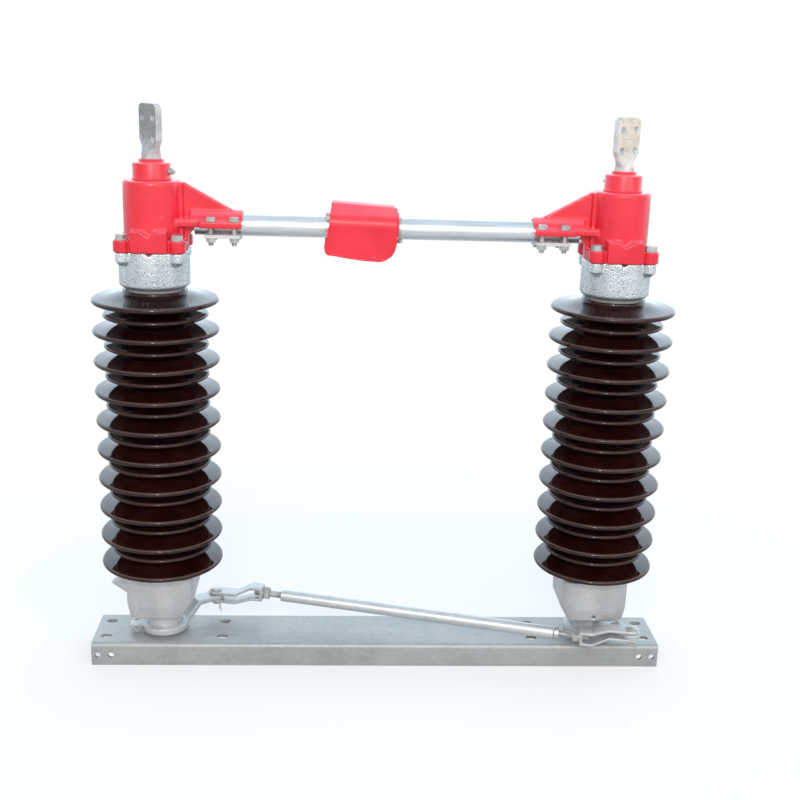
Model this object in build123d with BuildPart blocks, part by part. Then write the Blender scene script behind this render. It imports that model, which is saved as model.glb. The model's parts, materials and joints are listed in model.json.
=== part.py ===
from build123d import *
import os
from math import cos, radians, sin

# Single-pole centre-break disconnect switch. Two porcelain posts turn on a channel base,
# two arms meet in a hooded contact, and a crossed link rod turns both posts together.
# Origin: middle of the base, on the ground. X runs along the base, Y to the back, Z up.

# ---- driving dimensions, in millimetres ----
post_spacing = 700

# channel base, web upwards
base_overhang = 111
base_width = 105
base_height = 38
base_wall = 5
base_bend = 7
end_slot_inset = 20
inner_slot_inset = 96
slot_pitch_y = 52
slot_length = 18
slot_width = 12
earth_hole_radius = 4.75
earth_hole_pitch = 21
earth_hole_end = 10
earth_hole_height = 17

# turning shaft and its bearing
journal_radius = 20
running_clearance = 0.05
thrust_gap = 0.3
bearing_wall = 14
bearing_ground_gap = 4
web_hole_clearance = 1
shaft_radius = 27.5
seat_clearance = 0.2

# crank lever and link
lever_ring_wall = 10.5
lever_ring_rise = 6
lever_thickness = 10
arm_thickness = 8
arm_width = 26
arm_step = 22
crank_outset = 42
left_crank_angle = 36
ear_turn = 154
ear_length = 18
ear_width = 16
ear_bolt_out = 9
ear_bolt_radius = 4
ear_bolt_end = 10
small_hex_across = 12
small_hex_height = 6.5
eye_rise = 34
eye_wall = 8
pin_radius = 6
pin_head_lip = 3
pin_head_height = 4
pin_end = 6
fork_gap = 0.5
strap_thickness = 5
strap_width = 24
fork_length = 82
fork_flat = 36
fork_bend_back = 20
stud_room = 1
left_joggle = 12
right_joggle = 12
stud_radius = 6
stud_inside = 14
nut_lip = 3.5
nut_height = 10
nut_gap = 1
left_stud_length = 32
right_stud_length = 42
stud_collar_length = 8
open_joint_gap = 1.5
link_wall = 2.8
link_shoulder = 1.2
link_insert = 20

# lower casting under each insulator
casting_rise = 42
casting_height = 70
casting_wall = 6
casting_corner = 21
casting_foot_taper = 4.5
casting_foot_corner = 16
casting_foot_rise = 22
socket_depth = 20
left_relief_depth = 24
left_relief_rise = 34
right_relief_depth = 14
right_relief_rise = 22
stop_drop = 12
stop_sink = 1
stop_length = 31
stop_slope = 8
stop_nose = 15
stop_height = 38
stop_thickness = 14
drain_radius = 3
drain_rise = 8
drain_depth = 14

# insulator
core_radius = 48
shed_count = 10
shed_pitch = 47
first_shed_rise = 17.8
large_shed_overhang = 47
small_shed_overhang = 31
small_shed_offset = 24.4
large_rim = 7.4
small_rim = 6.2
large_shed_slope = 12.2
small_shed_slope = 8
rim_flat = 0.6
neck_length = 16.2
neck_step = 8
cement_thickness = 4
cement_grip = 24

# upper casting
cup_lift = 5
cup_height = 56
cup_wall = 8.6
cup_chamfer = 4
bolt_outset = 4.4
bolt_count = 4
bolt_start = 45
boss_radius = 10
boss_height = 20
boss_chamfer = 6
head_bolt_radius = 5
head_bolt_inside = 14
washer_radius = 10
washer_thickness = 2
hex_across = 16
hex_height = 6.5
notch_radius = 4
notch_depth = 8

# contact head
lug_radius = 12.5
lug_height = 18
flange_inset = 0.6
flange_height = 14
drum_step = 9
drum_height = 102
drum_fillet = 5
pad_height = 32
pad_width = 54
pad_outset = 2
pad_cut_left = 12
pad_cut_right = 14
pad_cut_drop = 9
rib_thickness = 14
rib_root = 28
rib_back = 3
rib_crown_drop = 2
rib_heel_drop = 14
rib_bend_drop = 4
rib_bend_back = 8
rib_crest_land = 14
arm_rise = 38
tube_radius = 16
tube_wall = 3
bracket_length = 81
saddle_length = 62
saddle_wall = 6
saddle_edge = 7
saddle_drop = 2
saddle_plate = 10
saddle_neck_width = 50
clamp_bolt_pitch = 34
clamp_bolt_inset = 11
clamp_bolt_clearance = 6.5
clamp_bolt_radius = 4
clamp_hex_across = 13
clamp_bolt_end = 5
clamp_strap_length = 52
clamp_plate_thickness = 5
clamp_bite = 5
cradle_wall = 5
cap_radius = 28
cap_ring = 1
cap_ring_height = 3
cap_height = 25
cap_fillet = 2
lip_wall = 4.2
lip_height = 5

# terminal
terminal_radius = 14.3
terminal_sink = 30
terminal_width = 50
terminal_thickness = 10
shoulder_rise = 57
palm_length = 51
terminal_forging = 21
terminal_corner = 9
terminal_hole_pitch = 30
terminal_hole_radius = 5.25
terminal_hole_drop = 34
left_terminal_turn = 52
right_terminal_turn = 38

# arms, contact and rain hood
tube_end_gap = 10
left_tube_tip = -70
right_tube_tip = 19
plug_length = 20
plug_collar = 4
blade_collar = 1
blade_tip = -35
blade_half_width = 15
blade_thickness = 7.4
blade_corner = 5
finger_gap = 0.3
finger_root_length = 30
finger_root_half_width = 18
finger_start = 6
finger_thickness = 6
finger_width = 8
finger_pitch = 11
finger_count = 3
finger_reach = 8
hood_wall = 2.5
hood_half_width = 38
hood_left_ridge_rise = 39.5
hood_ridge_fall = 7
hood_ridge_half = 15
hood_fold_rise = 17
hood_fold_fillet = 24
hood_ridge_fillet = 8
hood_left_low = (-96, -36)
hood_left_high = (-84, 42)
hood_right_high = (6, 34)
hood_right_fold = (14, 25)
hood_right_low = (7, -48)
hood_left_fillet = 7
hood_right_fillet = 26
hood_post_from = -86
hood_post_length = 24
hood_post_width = 20
hood_tab_length = 8
hood_tab_rise = 10
hood_tab_height = 10

# ---- derived places ----
half_spacing = post_spacing / 2
base_length = post_spacing + 2 * base_overhang
end_slot_spacing = base_length - 2 * end_slot_inset
inner_slot_spacing = post_spacing - 2 * inner_slot_inset
base_web_floor = base_height - base_wall
bearing_radius = journal_radius + bearing_wall
lever_ring_radius = shaft_radius + lever_ring_wall
lever_ring_floor = base_height + lever_ring_rise
casting_floor = base_height + casting_rise
casting_top = casting_floor + casting_height
casting_half = core_radius + casting_wall
casting_foot_half = casting_half - casting_foot_taper
crank_radius = casting_half + crank_outset
stop_top = casting_top - stop_drop
stop_root = casting_half - stop_sink
stop_reach = casting_half + stop_length
large_shed_radius = core_radius + large_shed_overhang
small_shed_radius = core_radius + small_shed_overhang
shed_heights = [casting_top + first_shed_rise + index * shed_pitch for index in range(shed_count)]
neck_top = shed_heights[-1] + neck_length
head_radius = core_radius - neck_step
cement_radius = head_radius + cement_thickness
cup_floor = neck_top + cup_lift
cup_top = cup_floor + cup_height
cement_top = cup_floor + cement_grip
cup_radius = cement_radius + cup_wall
bolt_circle = cup_radius + bolt_outset
flange_radius = cup_radius - flange_inset
drum_radius = flange_radius - drum_step
drum_top = cup_top + drum_height
pad_reach = flange_radius + pad_outset
bracket_reach = flange_radius + bracket_length
tube_inner_end = flange_radius + tube_end_gap
arm_height = cup_top + arm_rise
saddle_floor = arm_height - saddle_drop
saddle_crest = arm_height + tube_radius + saddle_wall
tube_bore_radius = tube_radius + seat_clearance / 2
clamp_bolt_far = bracket_reach - clamp_bolt_inset
clamp_bolt_near = clamp_bolt_far - clamp_bolt_pitch
clamp_bolt_side = tube_radius + saddle_wall + clamp_bolt_clearance
saddle_half_width = clamp_bolt_side + saddle_edge
clamp_drop = tube_radius - clamp_bite
clamp_floor = arm_height - clamp_drop - clamp_plate_thickness
clamp_middle = (clamp_bolt_near + clamp_bolt_far) / 2
clamp_bolt_places = [(reach, turn * clamp_bolt_side)
                     for reach in (clamp_bolt_near, clamp_bolt_far) for turn in (-1, 1)]
lip_radius = terminal_radius + lip_wall
terminal_shoulder = drum_top + shoulder_rise
terminal_top = terminal_shoulder + palm_length
right_crank_angle = left_crank_angle - 90
ring_top = lever_ring_floor + lever_thickness
ear_reach = lever_ring_radius + ear_length
ear_bolt_reach = lever_ring_radius + ear_bolt_out
ear_bolt_height = lever_ring_floor + lever_thickness / 2
eye_height = base_height + eye_rise
eye_radius = pin_radius + eye_wall
pin_head_radius = pin_radius + pin_head_lip
fork_mouth = 2 * (stud_radius + stud_room)
nut_across = 2 * (stud_radius + nut_lip)
link_bore_radius = stud_radius + link_shoulder
link_radius = link_bore_radius + link_wall
eye_floor = eye_height - arm_thickness / 2
eye_top = eye_height + arm_thickness / 2
finger_root_thickness = blade_thickness + 2 * finger_gap
hood_length = hood_right_fold[0] - hood_left_low[0]
hood_tab_floor = arm_height + hood_tab_rise
up = Vector(0, 0, 1)

left_pin = Vector(-half_spacing + crank_radius * cos(radians(left_crank_angle)),
                  crank_radius * sin(radians(left_crank_angle)), 0)
right_pin = Vector(half_spacing + crank_radius * cos(radians(right_crank_angle)),
                   crank_radius * sin(radians(right_crank_angle)), 0)
link_direction = (right_pin - left_pin).normalized()

os.makedirs("parts", exist_ok=True)


def post_plane(inward, height):
    """Level plane on a post's axis, its X towards the middle of the switch."""
    return Plane(origin=(-inward * half_spacing, 0, height), x_dir=(inward, 0, 0), z_dir=(0, 0, 1))


def upright_plane(origin, direction):
    """Upright plane through a point: X along the direction, Y upwards."""
    return Plane(origin=(origin.X, origin.Y, 0), x_dir=direction, z_dir=direction.cross(up))


def post_side(inward):
    """Upright plane through a post's axis, X towards the middle of the switch."""
    return upright_plane(Vector(-inward * half_spacing, 0, 0), Vector(inward, 0, 0))


# ---- channel base ----
with BuildPart() as base_channel:
    with BuildSketch(Plane.YZ.offset(-base_length / 2)) as channel_section:
        with Locations((0, base_height / 2)):
            Rectangle(base_width, base_height)
        fillet(channel_section.vertices().group_by(Axis.Y)[-1], base_bend)
        with BuildSketch(mode=Mode.SUBTRACT) as channel_hollow:
            with Locations((0, base_web_floor / 2)):
                Rectangle(base_width - 2 * base_wall, base_web_floor)
            fillet(channel_hollow.vertices().group_by(Axis.Y)[-1], base_bend - base_wall)
    extrude(amount=base_length)
    with BuildSketch(Plane.XY.offset(base_height)) as web_openings:
        with GridLocations(end_slot_spacing, slot_pitch_y, 2, 2):
            SlotOverall(slot_length, slot_width)
        with GridLocations(inner_slot_spacing, slot_pitch_y, 2, 2):
            SlotOverall(slot_length, slot_width)
        with GridLocations(post_spacing, 0, 2, 1):
            Circle(journal_radius + web_hole_clearance)
    extrude(amount=-base_wall, mode=Mode.SUBTRACT)
    earth_hole_middle = base_length / 2 - earth_hole_end - earth_hole_pitch / 2
    with BuildSketch(Plane.XZ) as earth_holes:
        with GridLocations(2 * earth_hole_middle, 0, 2, 1):
            with Locations((-earth_hole_pitch / 2, earth_hole_height),
                           (earth_hole_pitch / 2, earth_hole_height)):
                Circle(earth_hole_radius)
    extrude(amount=base_width, both=True, mode=Mode.SUBTRACT)
base_channel.part.label = "base_channel"
export_step(base_channel.part, "parts/base_channel.step")

# ---- the two posts: the same pieces, half a turn apart ----
for side, inward, crank_angle, terminal_turn, relief_depth, relief_rise in (
    ("left", 1, left_crank_angle, -90 - left_terminal_turn, left_relief_depth, left_relief_rise),
    ("right", -1, right_crank_angle, -90 + right_terminal_turn, right_relief_depth, right_relief_rise),
):
    post_axis = Axis((-inward * half_spacing, 0, 0), (0, 0, 1))
    post_centre = Vector(-inward * half_spacing, 0, 0)

    # bearing housing welded under the web
    with BuildPart() as bearing_housing:
        with BuildSketch(post_plane(inward, bearing_ground_gap)):
            Circle(bearing_radius)
            Circle(journal_radius + running_clearance, mode=Mode.SUBTRACT)
        extrude(amount=base_web_floor - bearing_ground_gap)
    bearing_housing.part.label = f"{side}_bearing_housing"
    export_step(bearing_housing.part, f"parts/{side}_bearing_housing.step")

    # shaft: journal in the bearing, wider neck above the web
    with BuildPart() as shaft:
        with BuildSketch(post_plane(inward, bearing_ground_gap)):
            Circle(journal_radius)
        extrude(amount=base_height + thrust_gap - bearing_ground_gap)
        with BuildSketch(post_plane(inward, base_height + thrust_gap)):
            Circle(shaft_radius)
        extrude(amount=casting_floor - base_height - thrust_gap)
    shaft.part.label = f"{side}_shaft"
    export_step(shaft.part, f"parts/{side}_shaft.step")

    # crank lever: clamp ring round the shaft, arm cranked up to the pin eye
    crank_direction = Vector(cos(radians(crank_angle)), sin(radians(crank_angle)), 0)
    eye_centre = post_centre + crank_direction * crank_radius
    ear_direction = crank_direction.rotate(Axis.Z, ear_turn)
    ear_plane = upright_plane(post_centre, ear_direction)
    arm_bend = lever_ring_radius + arm_step
    with BuildPart() as lever:
        with BuildSketch(upright_plane(post_centre, crank_direction)):
            with BuildLine():
                Polyline((shaft_radius, lever_ring_floor), (lever_ring_radius, lever_ring_floor),
                         (arm_bend, eye_floor), (crank_radius, eye_floor), (crank_radius, eye_top),
                         (arm_bend - arm_thickness / 2, eye_top),
                         (lever_ring_radius - arm_thickness / 2, ring_top),
                         (shaft_radius, ring_top), close=True)
            make_face()
        extrude(amount=arm_width / 2, both=True)
        with BuildSketch(Plane.XY.offset(eye_floor)):
            with Locations((eye_centre.X, eye_centre.Y)):
                Circle(eye_radius)
        extrude(amount=arm_thickness)
        with BuildSketch(post_plane(inward, lever_ring_floor)):
            Circle(lever_ring_radius)
        extrude(amount=lever_thickness)
        with BuildSketch(ear_plane.offset(-ear_width / 2)):
            with Locations((shaft_radius, lever_ring_floor)):
                Rectangle(ear_reach - shaft_radius, lever_thickness, align=(Align.MIN, Align.MIN))
        extrude(amount=ear_width)
        with BuildSketch(post_plane(inward, 0)):
            Circle(shaft_radius + seat_clearance)
        extrude(amount=casting_floor, mode=Mode.SUBTRACT)
        with BuildSketch(Plane.XY):
            with Locations((eye_centre.X, eye_centre.Y)):
                Circle(pin_radius + running_clearance)
        extrude(amount=casting_floor, mode=Mode.SUBTRACT)
        with BuildSketch(ear_plane):
            with Locations((ear_bolt_reach, ear_bolt_height)):
                Circle(ear_bolt_radius + seat_clearance)
        extrude(amount=ear_width, both=True, mode=Mode.SUBTRACT)
    lever.part.label = f"{side}_lever"
    export_step(lever.part, f"parts/{side}_lever.step")

    # bolt across the lever's clamp ear, head on one face and nut on the other
    with BuildPart() as lever_bolt:
        with BuildSketch(ear_plane.offset(-ear_width / 2 - ear_bolt_end)):
            with Locations((ear_bolt_reach, ear_bolt_height)):
                Circle(ear_bolt_radius)
        extrude(amount=ear_width + ear_bolt_end)
        for face in (-ear_width / 2 - small_hex_height, ear_width / 2):
            with BuildSketch(ear_plane.offset(face)):
                with Locations((ear_bolt_reach, ear_bolt_height)):
                    RegularPolygon(small_hex_across / 2, 6, major_radius=False)
            extrude(amount=small_hex_height)
    lever_bolt.part.label = f"{side}_lever_bolt"
    export_step(lever_bolt.part, f"parts/{side}_lever_bolt.step")

    # lower casting: square bell with one side cut back for the link
    with BuildPart() as lower_casting:
        with BuildSketch(post_plane(inward, casting_floor)):
            RectangleRounded(2 * casting_foot_half, 2 * casting_foot_half, casting_foot_corner)
        with BuildSketch(post_plane(inward, casting_floor + casting_foot_rise)):
            RectangleRounded(2 * casting_half, 2 * casting_half, casting_corner)
        loft()
        with BuildSketch(post_plane(inward, casting_floor + casting_foot_rise)):
            RectangleRounded(2 * casting_half, 2 * casting_half, casting_corner)
        extrude(amount=casting_top - casting_floor - casting_foot_rise)
        with BuildSketch(post_side(inward)):
            with BuildLine():
                Polyline((casting_half - relief_depth, casting_floor), (casting_half, casting_floor),
                         (casting_half, casting_floor + relief_rise), close=True)
            make_face()
        extrude(amount=casting_half, both=True, mode=Mode.SUBTRACT)
        with BuildSketch(post_plane(inward, casting_top)):
            Circle(core_radius + seat_clearance)
        extrude(amount=-socket_depth, mode=Mode.SUBTRACT)
        if side == "left":
            with BuildSketch(post_side(inward)):
                with BuildLine():
                    Polyline((-stop_root, stop_top), (stop_slope - stop_reach, stop_top - stop_slope),
                             (-stop_reach, stop_top - stop_nose), (-stop_root, stop_top - stop_height),
                             close=True)
                make_face()
            extrude(amount=stop_thickness / 2, both=True)
        else:
            with BuildSketch(Plane.XZ.offset(casting_half)):
                with Locations((post_centre.X, casting_floor + drain_rise)):
                    Circle(drain_radius)
            extrude(amount=-drain_depth, mode=Mode.SUBTRACT)
    lower_casting.part.label = f"{side}_lower_casting"
    export_step(lower_casting.part, f"parts/{side}_lower_casting.step")

    # porcelain insulator: one core, and each shed as its own solid face to face with it
    with BuildPart() as core:
        with BuildSketch(post_plane(inward, casting_top - socket_depth)):
            Circle(core_radius)
        extrude(amount=neck_top - casting_top + socket_depth)
        with BuildSketch(post_plane(inward, neck_top)):
            Circle(head_radius)
        extrude(amount=cement_top - neck_top)
    sheds = []
    for index, height in enumerate(shed_heights):
        shed_sizes = [(large_shed_radius, height, large_rim, large_shed_slope)]
        if index < shed_count - 1:
            shed_sizes.append((small_shed_radius, height + small_shed_offset, small_rim, small_shed_slope))
        for rim, level, thickness, slope in shed_sizes:
            with BuildPart() as shed:
                with BuildSketch(post_side(inward)) as shed_section:
                    with BuildLine():
                        Polyline((core_radius, level - thickness / 2), (rim, level - thickness / 2),
                                 (rim, level + thickness / 2), (core_radius, level + slope), close=True)
                    make_face()
                    fillet(shed_section.vertices().group_by(Axis.X)[-1], (thickness - rim_flat) / 2)
                revolve(axis=post_axis)
            sheds += shed.part.solids()
    insulator = Compound(core.part.solids() + sheds)
    insulator.label = f"{side}_insulator"
    export_step(insulator, f"parts/{side}_insulator.step")

    # cement collar between porcelain and cup
    with BuildPart() as cement:
        with BuildSketch(post_plane(inward, neck_top)):
            Circle(cement_radius)
            Circle(head_radius + seat_clearance, mode=Mode.SUBTRACT)
        extrude(amount=cement_top - neck_top)
    cement.part.label = f"{side}_cement_collar"
    export_step(cement.part, f"parts/{side}_cement_collar.step")

    # upper casting: cup over the insulator's head with four bolt bosses
    with BuildPart() as upper_casting:
        with BuildSketch(post_plane(inward, cup_floor)):
            Circle(cup_radius)
        extrude(amount=cup_top - cup_floor)
        chamfer(upper_casting.edges().group_by(Axis.Z)[0], cup_chamfer)
        boss_floor = cup_top - boss_height
        for level, amount, taper in ((cup_top, boss_chamfer - boss_height, 0),
                                     (boss_floor + boss_chamfer, -boss_chamfer, 45)):
            with BuildSketch(post_plane(inward, level)):
                with PolarLocations(bolt_circle, bolt_count, start_angle=bolt_start):
                    Circle(boss_radius)
            extrude(amount=amount, taper=taper)
        with BuildSketch(post_plane(inward, cup_floor)):
            Circle(cement_radius + seat_clearance)
        extrude(amount=cement_top - cup_floor, mode=Mode.SUBTRACT)
        with BuildSketch(post_plane(inward, cup_top)):
            with PolarLocations(bolt_circle, bolt_count, start_angle=bolt_start):
                Circle(head_bolt_radius + seat_clearance)
        extrude(amount=-head_bolt_inside, mode=Mode.SUBTRACT)
        with BuildSketch(Plane.XZ.offset(cup_radius)):
            with Locations((post_centre.X, cup_top)):
                Circle(notch_radius)
        extrude(amount=-notch_depth, mode=Mode.SUBTRACT)
    upper_casting.part.label = f"{side}_upper_casting"
    export_step(upper_casting.part, f"parts/{side}_upper_casting.step")

    # contact head: flanged drum with a bracket that carries the arm
    with BuildPart() as contact_head:
        with BuildSketch(post_plane(inward, cup_top)):
            Circle(flange_radius)
        extrude(amount=flange_height)
        with BuildSketch(post_plane(inward, cup_top)):
            with PolarLocations(bolt_circle, bolt_count, start_angle=bolt_start):
                Circle(lug_radius)
                Rectangle(2 * lug_radius, 2 * lug_radius, align=(Align.MAX, Align.CENTER))
        extrude(amount=lug_height)
        with BuildSketch(post_plane(inward, cup_top)):
            Circle(drum_radius)
        extrude(amount=drum_top - cup_top)
        fillet(contact_head.edges().group_by(Axis.Z)[-1], drum_fillet)
        with BuildSketch(post_plane(inward, cup_top)):
            Rectangle(pad_width, 2 * pad_reach)
        extrude(amount=pad_height)
        for face in (-1, 1):
            with BuildSketch(Plane(origin=(post_centre.X, face * pad_reach, 0),
                                   x_dir=(-face, 0, 0), z_dir=(0, face, 0))):
                with BuildLine():
                    Polyline((-pad_cut_left, cup_top + pad_height), (0, cup_top + pad_height - pad_cut_drop),
                             (pad_cut_right, cup_top + pad_height), close=True)
                make_face()
            extrude(amount=drum_radius - pad_reach, mode=Mode.SUBTRACT)
        saddle_start = bracket_reach - saddle_length
        saddle_back = tube_inner_end - saddle_wall
        with BuildSketch(post_side(inward)):
            with BuildLine():
                Polyline((rib_root, cup_top + flange_height / 2),
                         (flange_radius, cup_top + flange_height / 2),
                         (flange_radius, saddle_floor - rib_heel_drop),
                         (saddle_start - rib_bend_back, saddle_floor - rib_bend_drop),
                         (saddle_start, saddle_floor), (bracket_reach, saddle_floor),
                         (bracket_reach, saddle_crest - rib_crown_drop),
                         (bracket_reach - rib_crest_land, saddle_crest),
                         (drum_radius + rib_back, drum_top - rib_crown_drop),
                         (rib_root, drum_top - rib_crown_drop), close=True)
            make_face()
        extrude(amount=rib_thickness / 2, both=True)
        with BuildSketch(post_plane(inward, cup_top + lug_height)):
            with Locations((rib_root, 0)):
                Rectangle(drum_radius + rib_back - rib_root, 2 * rib_thickness,
                          align=(Align.MIN, Align.CENTER))
        extrude(amount=drum_top - rib_crown_drop - cup_top - lug_height)
        with BuildSketch(post_plane(inward, saddle_floor)):
            with Locations((saddle_start, 0)):
                Rectangle(saddle_length, 2 * saddle_half_width, align=(Align.MIN, Align.CENTER))
            with Locations((rib_root, 0)):
                Rectangle(saddle_start - rib_root, saddle_neck_width, align=(Align.MIN, Align.CENTER))
        extrude(amount=saddle_plate)
        with BuildSketch(Plane(origin=(-inward * (half_spacing - saddle_back), 0, arm_height),
                               x_dir=(0, inward, 0), z_dir=(inward, 0, 0))):
            Circle(tube_radius + saddle_wall)
            with Locations((0, -tube_radius - saddle_wall)):
                Rectangle(2 * saddle_half_width, tube_radius + saddle_wall + saddle_floor - arm_height,
                          align=(Align.CENTER, Align.MIN), mode=Mode.SUBTRACT)
        extrude(amount=bracket_reach - saddle_back)
        tube_way = Plane(origin=(-inward * (half_spacing - tube_inner_end), 0, arm_height),
                         x_dir=(0, inward, 0), z_dir=(inward, 0, 0))
        with BuildSketch(tube_way):
            Circle(tube_bore_radius)
        extrude(amount=bracket_reach, mode=Mode.SUBTRACT)
        with BuildSketch(post_plane(inward, saddle_floor)):
            with Locations(*clamp_bolt_places):
                Circle(clamp_bolt_radius + seat_clearance)
        extrude(amount=saddle_plate, mode=Mode.SUBTRACT)
        with BuildSketch(post_plane(inward, cup_top)):
            with PolarLocations(bolt_circle, bolt_count, start_angle=bolt_start):
                Circle(head_bolt_radius + seat_clearance)
        extrude(amount=lug_height, mode=Mode.SUBTRACT)
        with BuildSketch(post_plane(inward, drum_top)):
            Circle(terminal_radius + running_clearance)
        extrude(amount=-terminal_sink, mode=Mode.SUBTRACT)
    contact_head.part.label = f"{side}_contact_head"
    export_step(contact_head.part, f"parts/{side}_contact_head.step")

    # four bolts with washers that hold the head to the upper casting
    with BuildPart() as head_bolts:
        with BuildSketch(post_plane(inward, cup_top + lug_height)):
            with PolarLocations(bolt_circle, bolt_count, start_angle=bolt_start):
                Circle(head_bolt_radius)
        extrude(amount=-lug_height - head_bolt_inside)
        with BuildSketch(post_plane(inward, cup_top + lug_height)):
            with PolarLocations(bolt_circle, bolt_count, start_angle=bolt_start):
                Circle(washer_radius)
        extrude(amount=washer_thickness)
        with BuildSketch(post_plane(inward, cup_top + lug_height + washer_thickness)):
            with PolarLocations(bolt_circle, bolt_count, start_angle=bolt_start):
                RegularPolygon(hex_across / 2, 6, major_radius=False)
        extrude(amount=hex_height)
    head_bolts.part.label = f"{side}_head_bolts"
    export_step(head_bolts.part, f"parts/{side}_head_bolts.step")

    # cap over the swivel, with its sealing lip
    with BuildPart() as cap:
        with BuildSketch(post_plane(inward, drum_top)):
            Circle(cap_radius + cap_ring)
        extrude(amount=cap_ring_height)
        with BuildSketch(post_plane(inward, drum_top)):
            Circle(cap_radius)
        extrude(amount=cap_height)
        fillet(cap.edges().group_by(Axis.Z)[-1], cap_fillet)
        with BuildSketch(post_plane(inward, drum_top + cap_height)):
            Circle(lip_radius)
        extrude(amount=lip_height)
        with BuildSketch(post_plane(inward, drum_top)):
            Circle(terminal_radius + running_clearance)
        extrude(amount=cap_height + lip_height, mode=Mode.SUBTRACT)
    cap.part.label = f"{side}_head_cap"
    export_step(cap.part, f"parts/{side}_head_cap.step")

    # terminal: round stud that flattens into a drilled palm
    palm_normal = Vector(cos(radians(terminal_turn)), sin(radians(terminal_turn)), 0)
    palm_plane = Plane(origin=(post_centre.X, 0, 0), x_dir=up.cross(palm_normal), z_dir=palm_normal)
    stud_foot = drum_top - terminal_sink + thrust_gap
    stud_top = terminal_shoulder - terminal_forging
    with BuildPart() as terminal:
        with BuildSketch(post_plane(inward, stud_foot)):
            Circle(terminal_radius)
        extrude(amount=stud_top - stud_foot)
        with BuildSketch(Plane(origin=(post_centre.X, 0, stud_top), x_dir=palm_plane.x_dir, z_dir=(0, 0, 1))):
            Circle(terminal_radius)
        with BuildSketch(Plane(origin=(post_centre.X, 0, terminal_shoulder), x_dir=palm_plane.x_dir,
                               z_dir=(0, 0, 1))):
            Rectangle(terminal_width, terminal_thickness)
        loft()
        with BuildSketch(palm_plane):
            with Locations((0, terminal_shoulder)):
                Rectangle(terminal_width, terminal_top - terminal_shoulder, align=(Align.CENTER, Align.MIN))
        extrude(amount=terminal_thickness / 2, both=True)
        palm_corners = terminal.edges().filter_by(Axis((0, 0, 0), palm_normal)).group_by(Axis.Z)[-1]
        fillet(palm_corners, terminal_corner)
        with BuildSketch(palm_plane):
            with Locations((0, terminal_top - terminal_hole_drop)):
                with GridLocations(terminal_hole_pitch, terminal_hole_pitch, 2, 2):
                    Circle(terminal_hole_radius)
        extrude(amount=terminal_thickness, both=True, mode=Mode.SUBTRACT)
    terminal.part.label = f"{side}_terminal"
    export_step(terminal.part, f"parts/{side}_terminal.step")

    # arm tube, from the bracket towards the middle
    tube_tip = left_tube_tip if side == "left" else right_tube_tip
    tube_start = -inward * (half_spacing - tube_inner_end)
    with BuildPart() as arm_tube:
        with BuildSketch(Plane(origin=(tube_start, 0, arm_height), x_dir=(0, inward, 0),
                               z_dir=(inward, 0, 0))):
            Circle(tube_radius)
            Circle(tube_radius - tube_wall, mode=Mode.SUBTRACT)
        extrude(amount=abs(tube_tip - tube_start))
    arm_tube.part.label = f"{side}_arm_tube"
    export_step(arm_tube.part, f"parts/{side}_arm_tube.step")

    # hat-shaped strap that clamps the tube up into the saddle
    with BuildPart() as clamp_plate:
        with BuildSketch(post_plane(inward, clamp_floor)):
            with Locations((clamp_middle, 0)):
                Rectangle(clamp_strap_length, 2 * saddle_half_width)
            with Locations(*clamp_bolt_places):
                Circle(clamp_bolt_radius + seat_clearance, mode=Mode.SUBTRACT)
        extrude(amount=clamp_plate_thickness)
        with BuildSketch(Plane(origin=(-inward * (half_spacing - clamp_middle + clamp_strap_length / 2), 0,
                                       arm_height), x_dir=(0, inward, 0), z_dir=(inward, 0, 0))):
            Circle(tube_radius + cradle_wall)
            with Locations((0, -clamp_drop)):
                Rectangle(2 * saddle_half_width, 2 * saddle_half_width,
                          align=(Align.CENTER, Align.MIN), mode=Mode.SUBTRACT)
        extrude(amount=clamp_strap_length)
        with BuildSketch(tube_way):
            Circle(tube_bore_radius)
        extrude(amount=bracket_reach, mode=Mode.SUBTRACT)
    clamp_plate.part.label = f"{side}_clamp_plate"
    export_step(clamp_plate.part, f"parts/{side}_clamp_plate.step")

    # four clamp bolts with nuts
    with BuildPart() as clamp_bolts:
        bolt_floor = clamp_floor - small_hex_height - clamp_bolt_end
        with BuildSketch(post_plane(inward, bolt_floor)):
            with Locations(*clamp_bolt_places):
                Circle(clamp_bolt_radius)
        extrude(amount=saddle_floor + saddle_plate - bolt_floor)
        for level in (clamp_floor - small_hex_height, saddle_floor + saddle_plate):
            with BuildSketch(post_plane(inward, level)):
                with Locations(*clamp_bolt_places):
                    RegularPolygon(clamp_hex_across / 2, 6, major_radius=False)
            extrude(amount=small_hex_height)
    clamp_bolts.part.label = f"{side}_clamp_bolts"
    export_step(clamp_bolts.part, f"parts/{side}_clamp_bolts.step")

# ---- contact: fingers on the left arm, flat blade on the right arm ----
finger_floor = arm_height + finger_root_thickness / 2
with BuildPart() as finger_block:
    with BuildSketch(Plane.YZ.offset(left_tube_tip - plug_length)):
        with Locations((0, arm_height)):
            Circle(tube_radius - tube_wall - seat_clearance)
    extrude(amount=plug_length)
    with BuildSketch(Plane.YZ.offset(left_tube_tip)):
        with Locations((0, arm_height)):
            Circle(tube_radius)
    extrude(amount=plug_collar)
    with BuildSketch(Plane.XY.offset(arm_height - finger_root_thickness / 2)):
        with Locations((left_tube_tip, 0)):
            Rectangle(finger_root_length, 2 * finger_root_half_width, align=(Align.MIN, Align.CENTER))
    extrude(amount=finger_root_thickness)
finger_block.part.label = "finger_block"
export_step(finger_block.part, "parts/finger_block.step")

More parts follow.
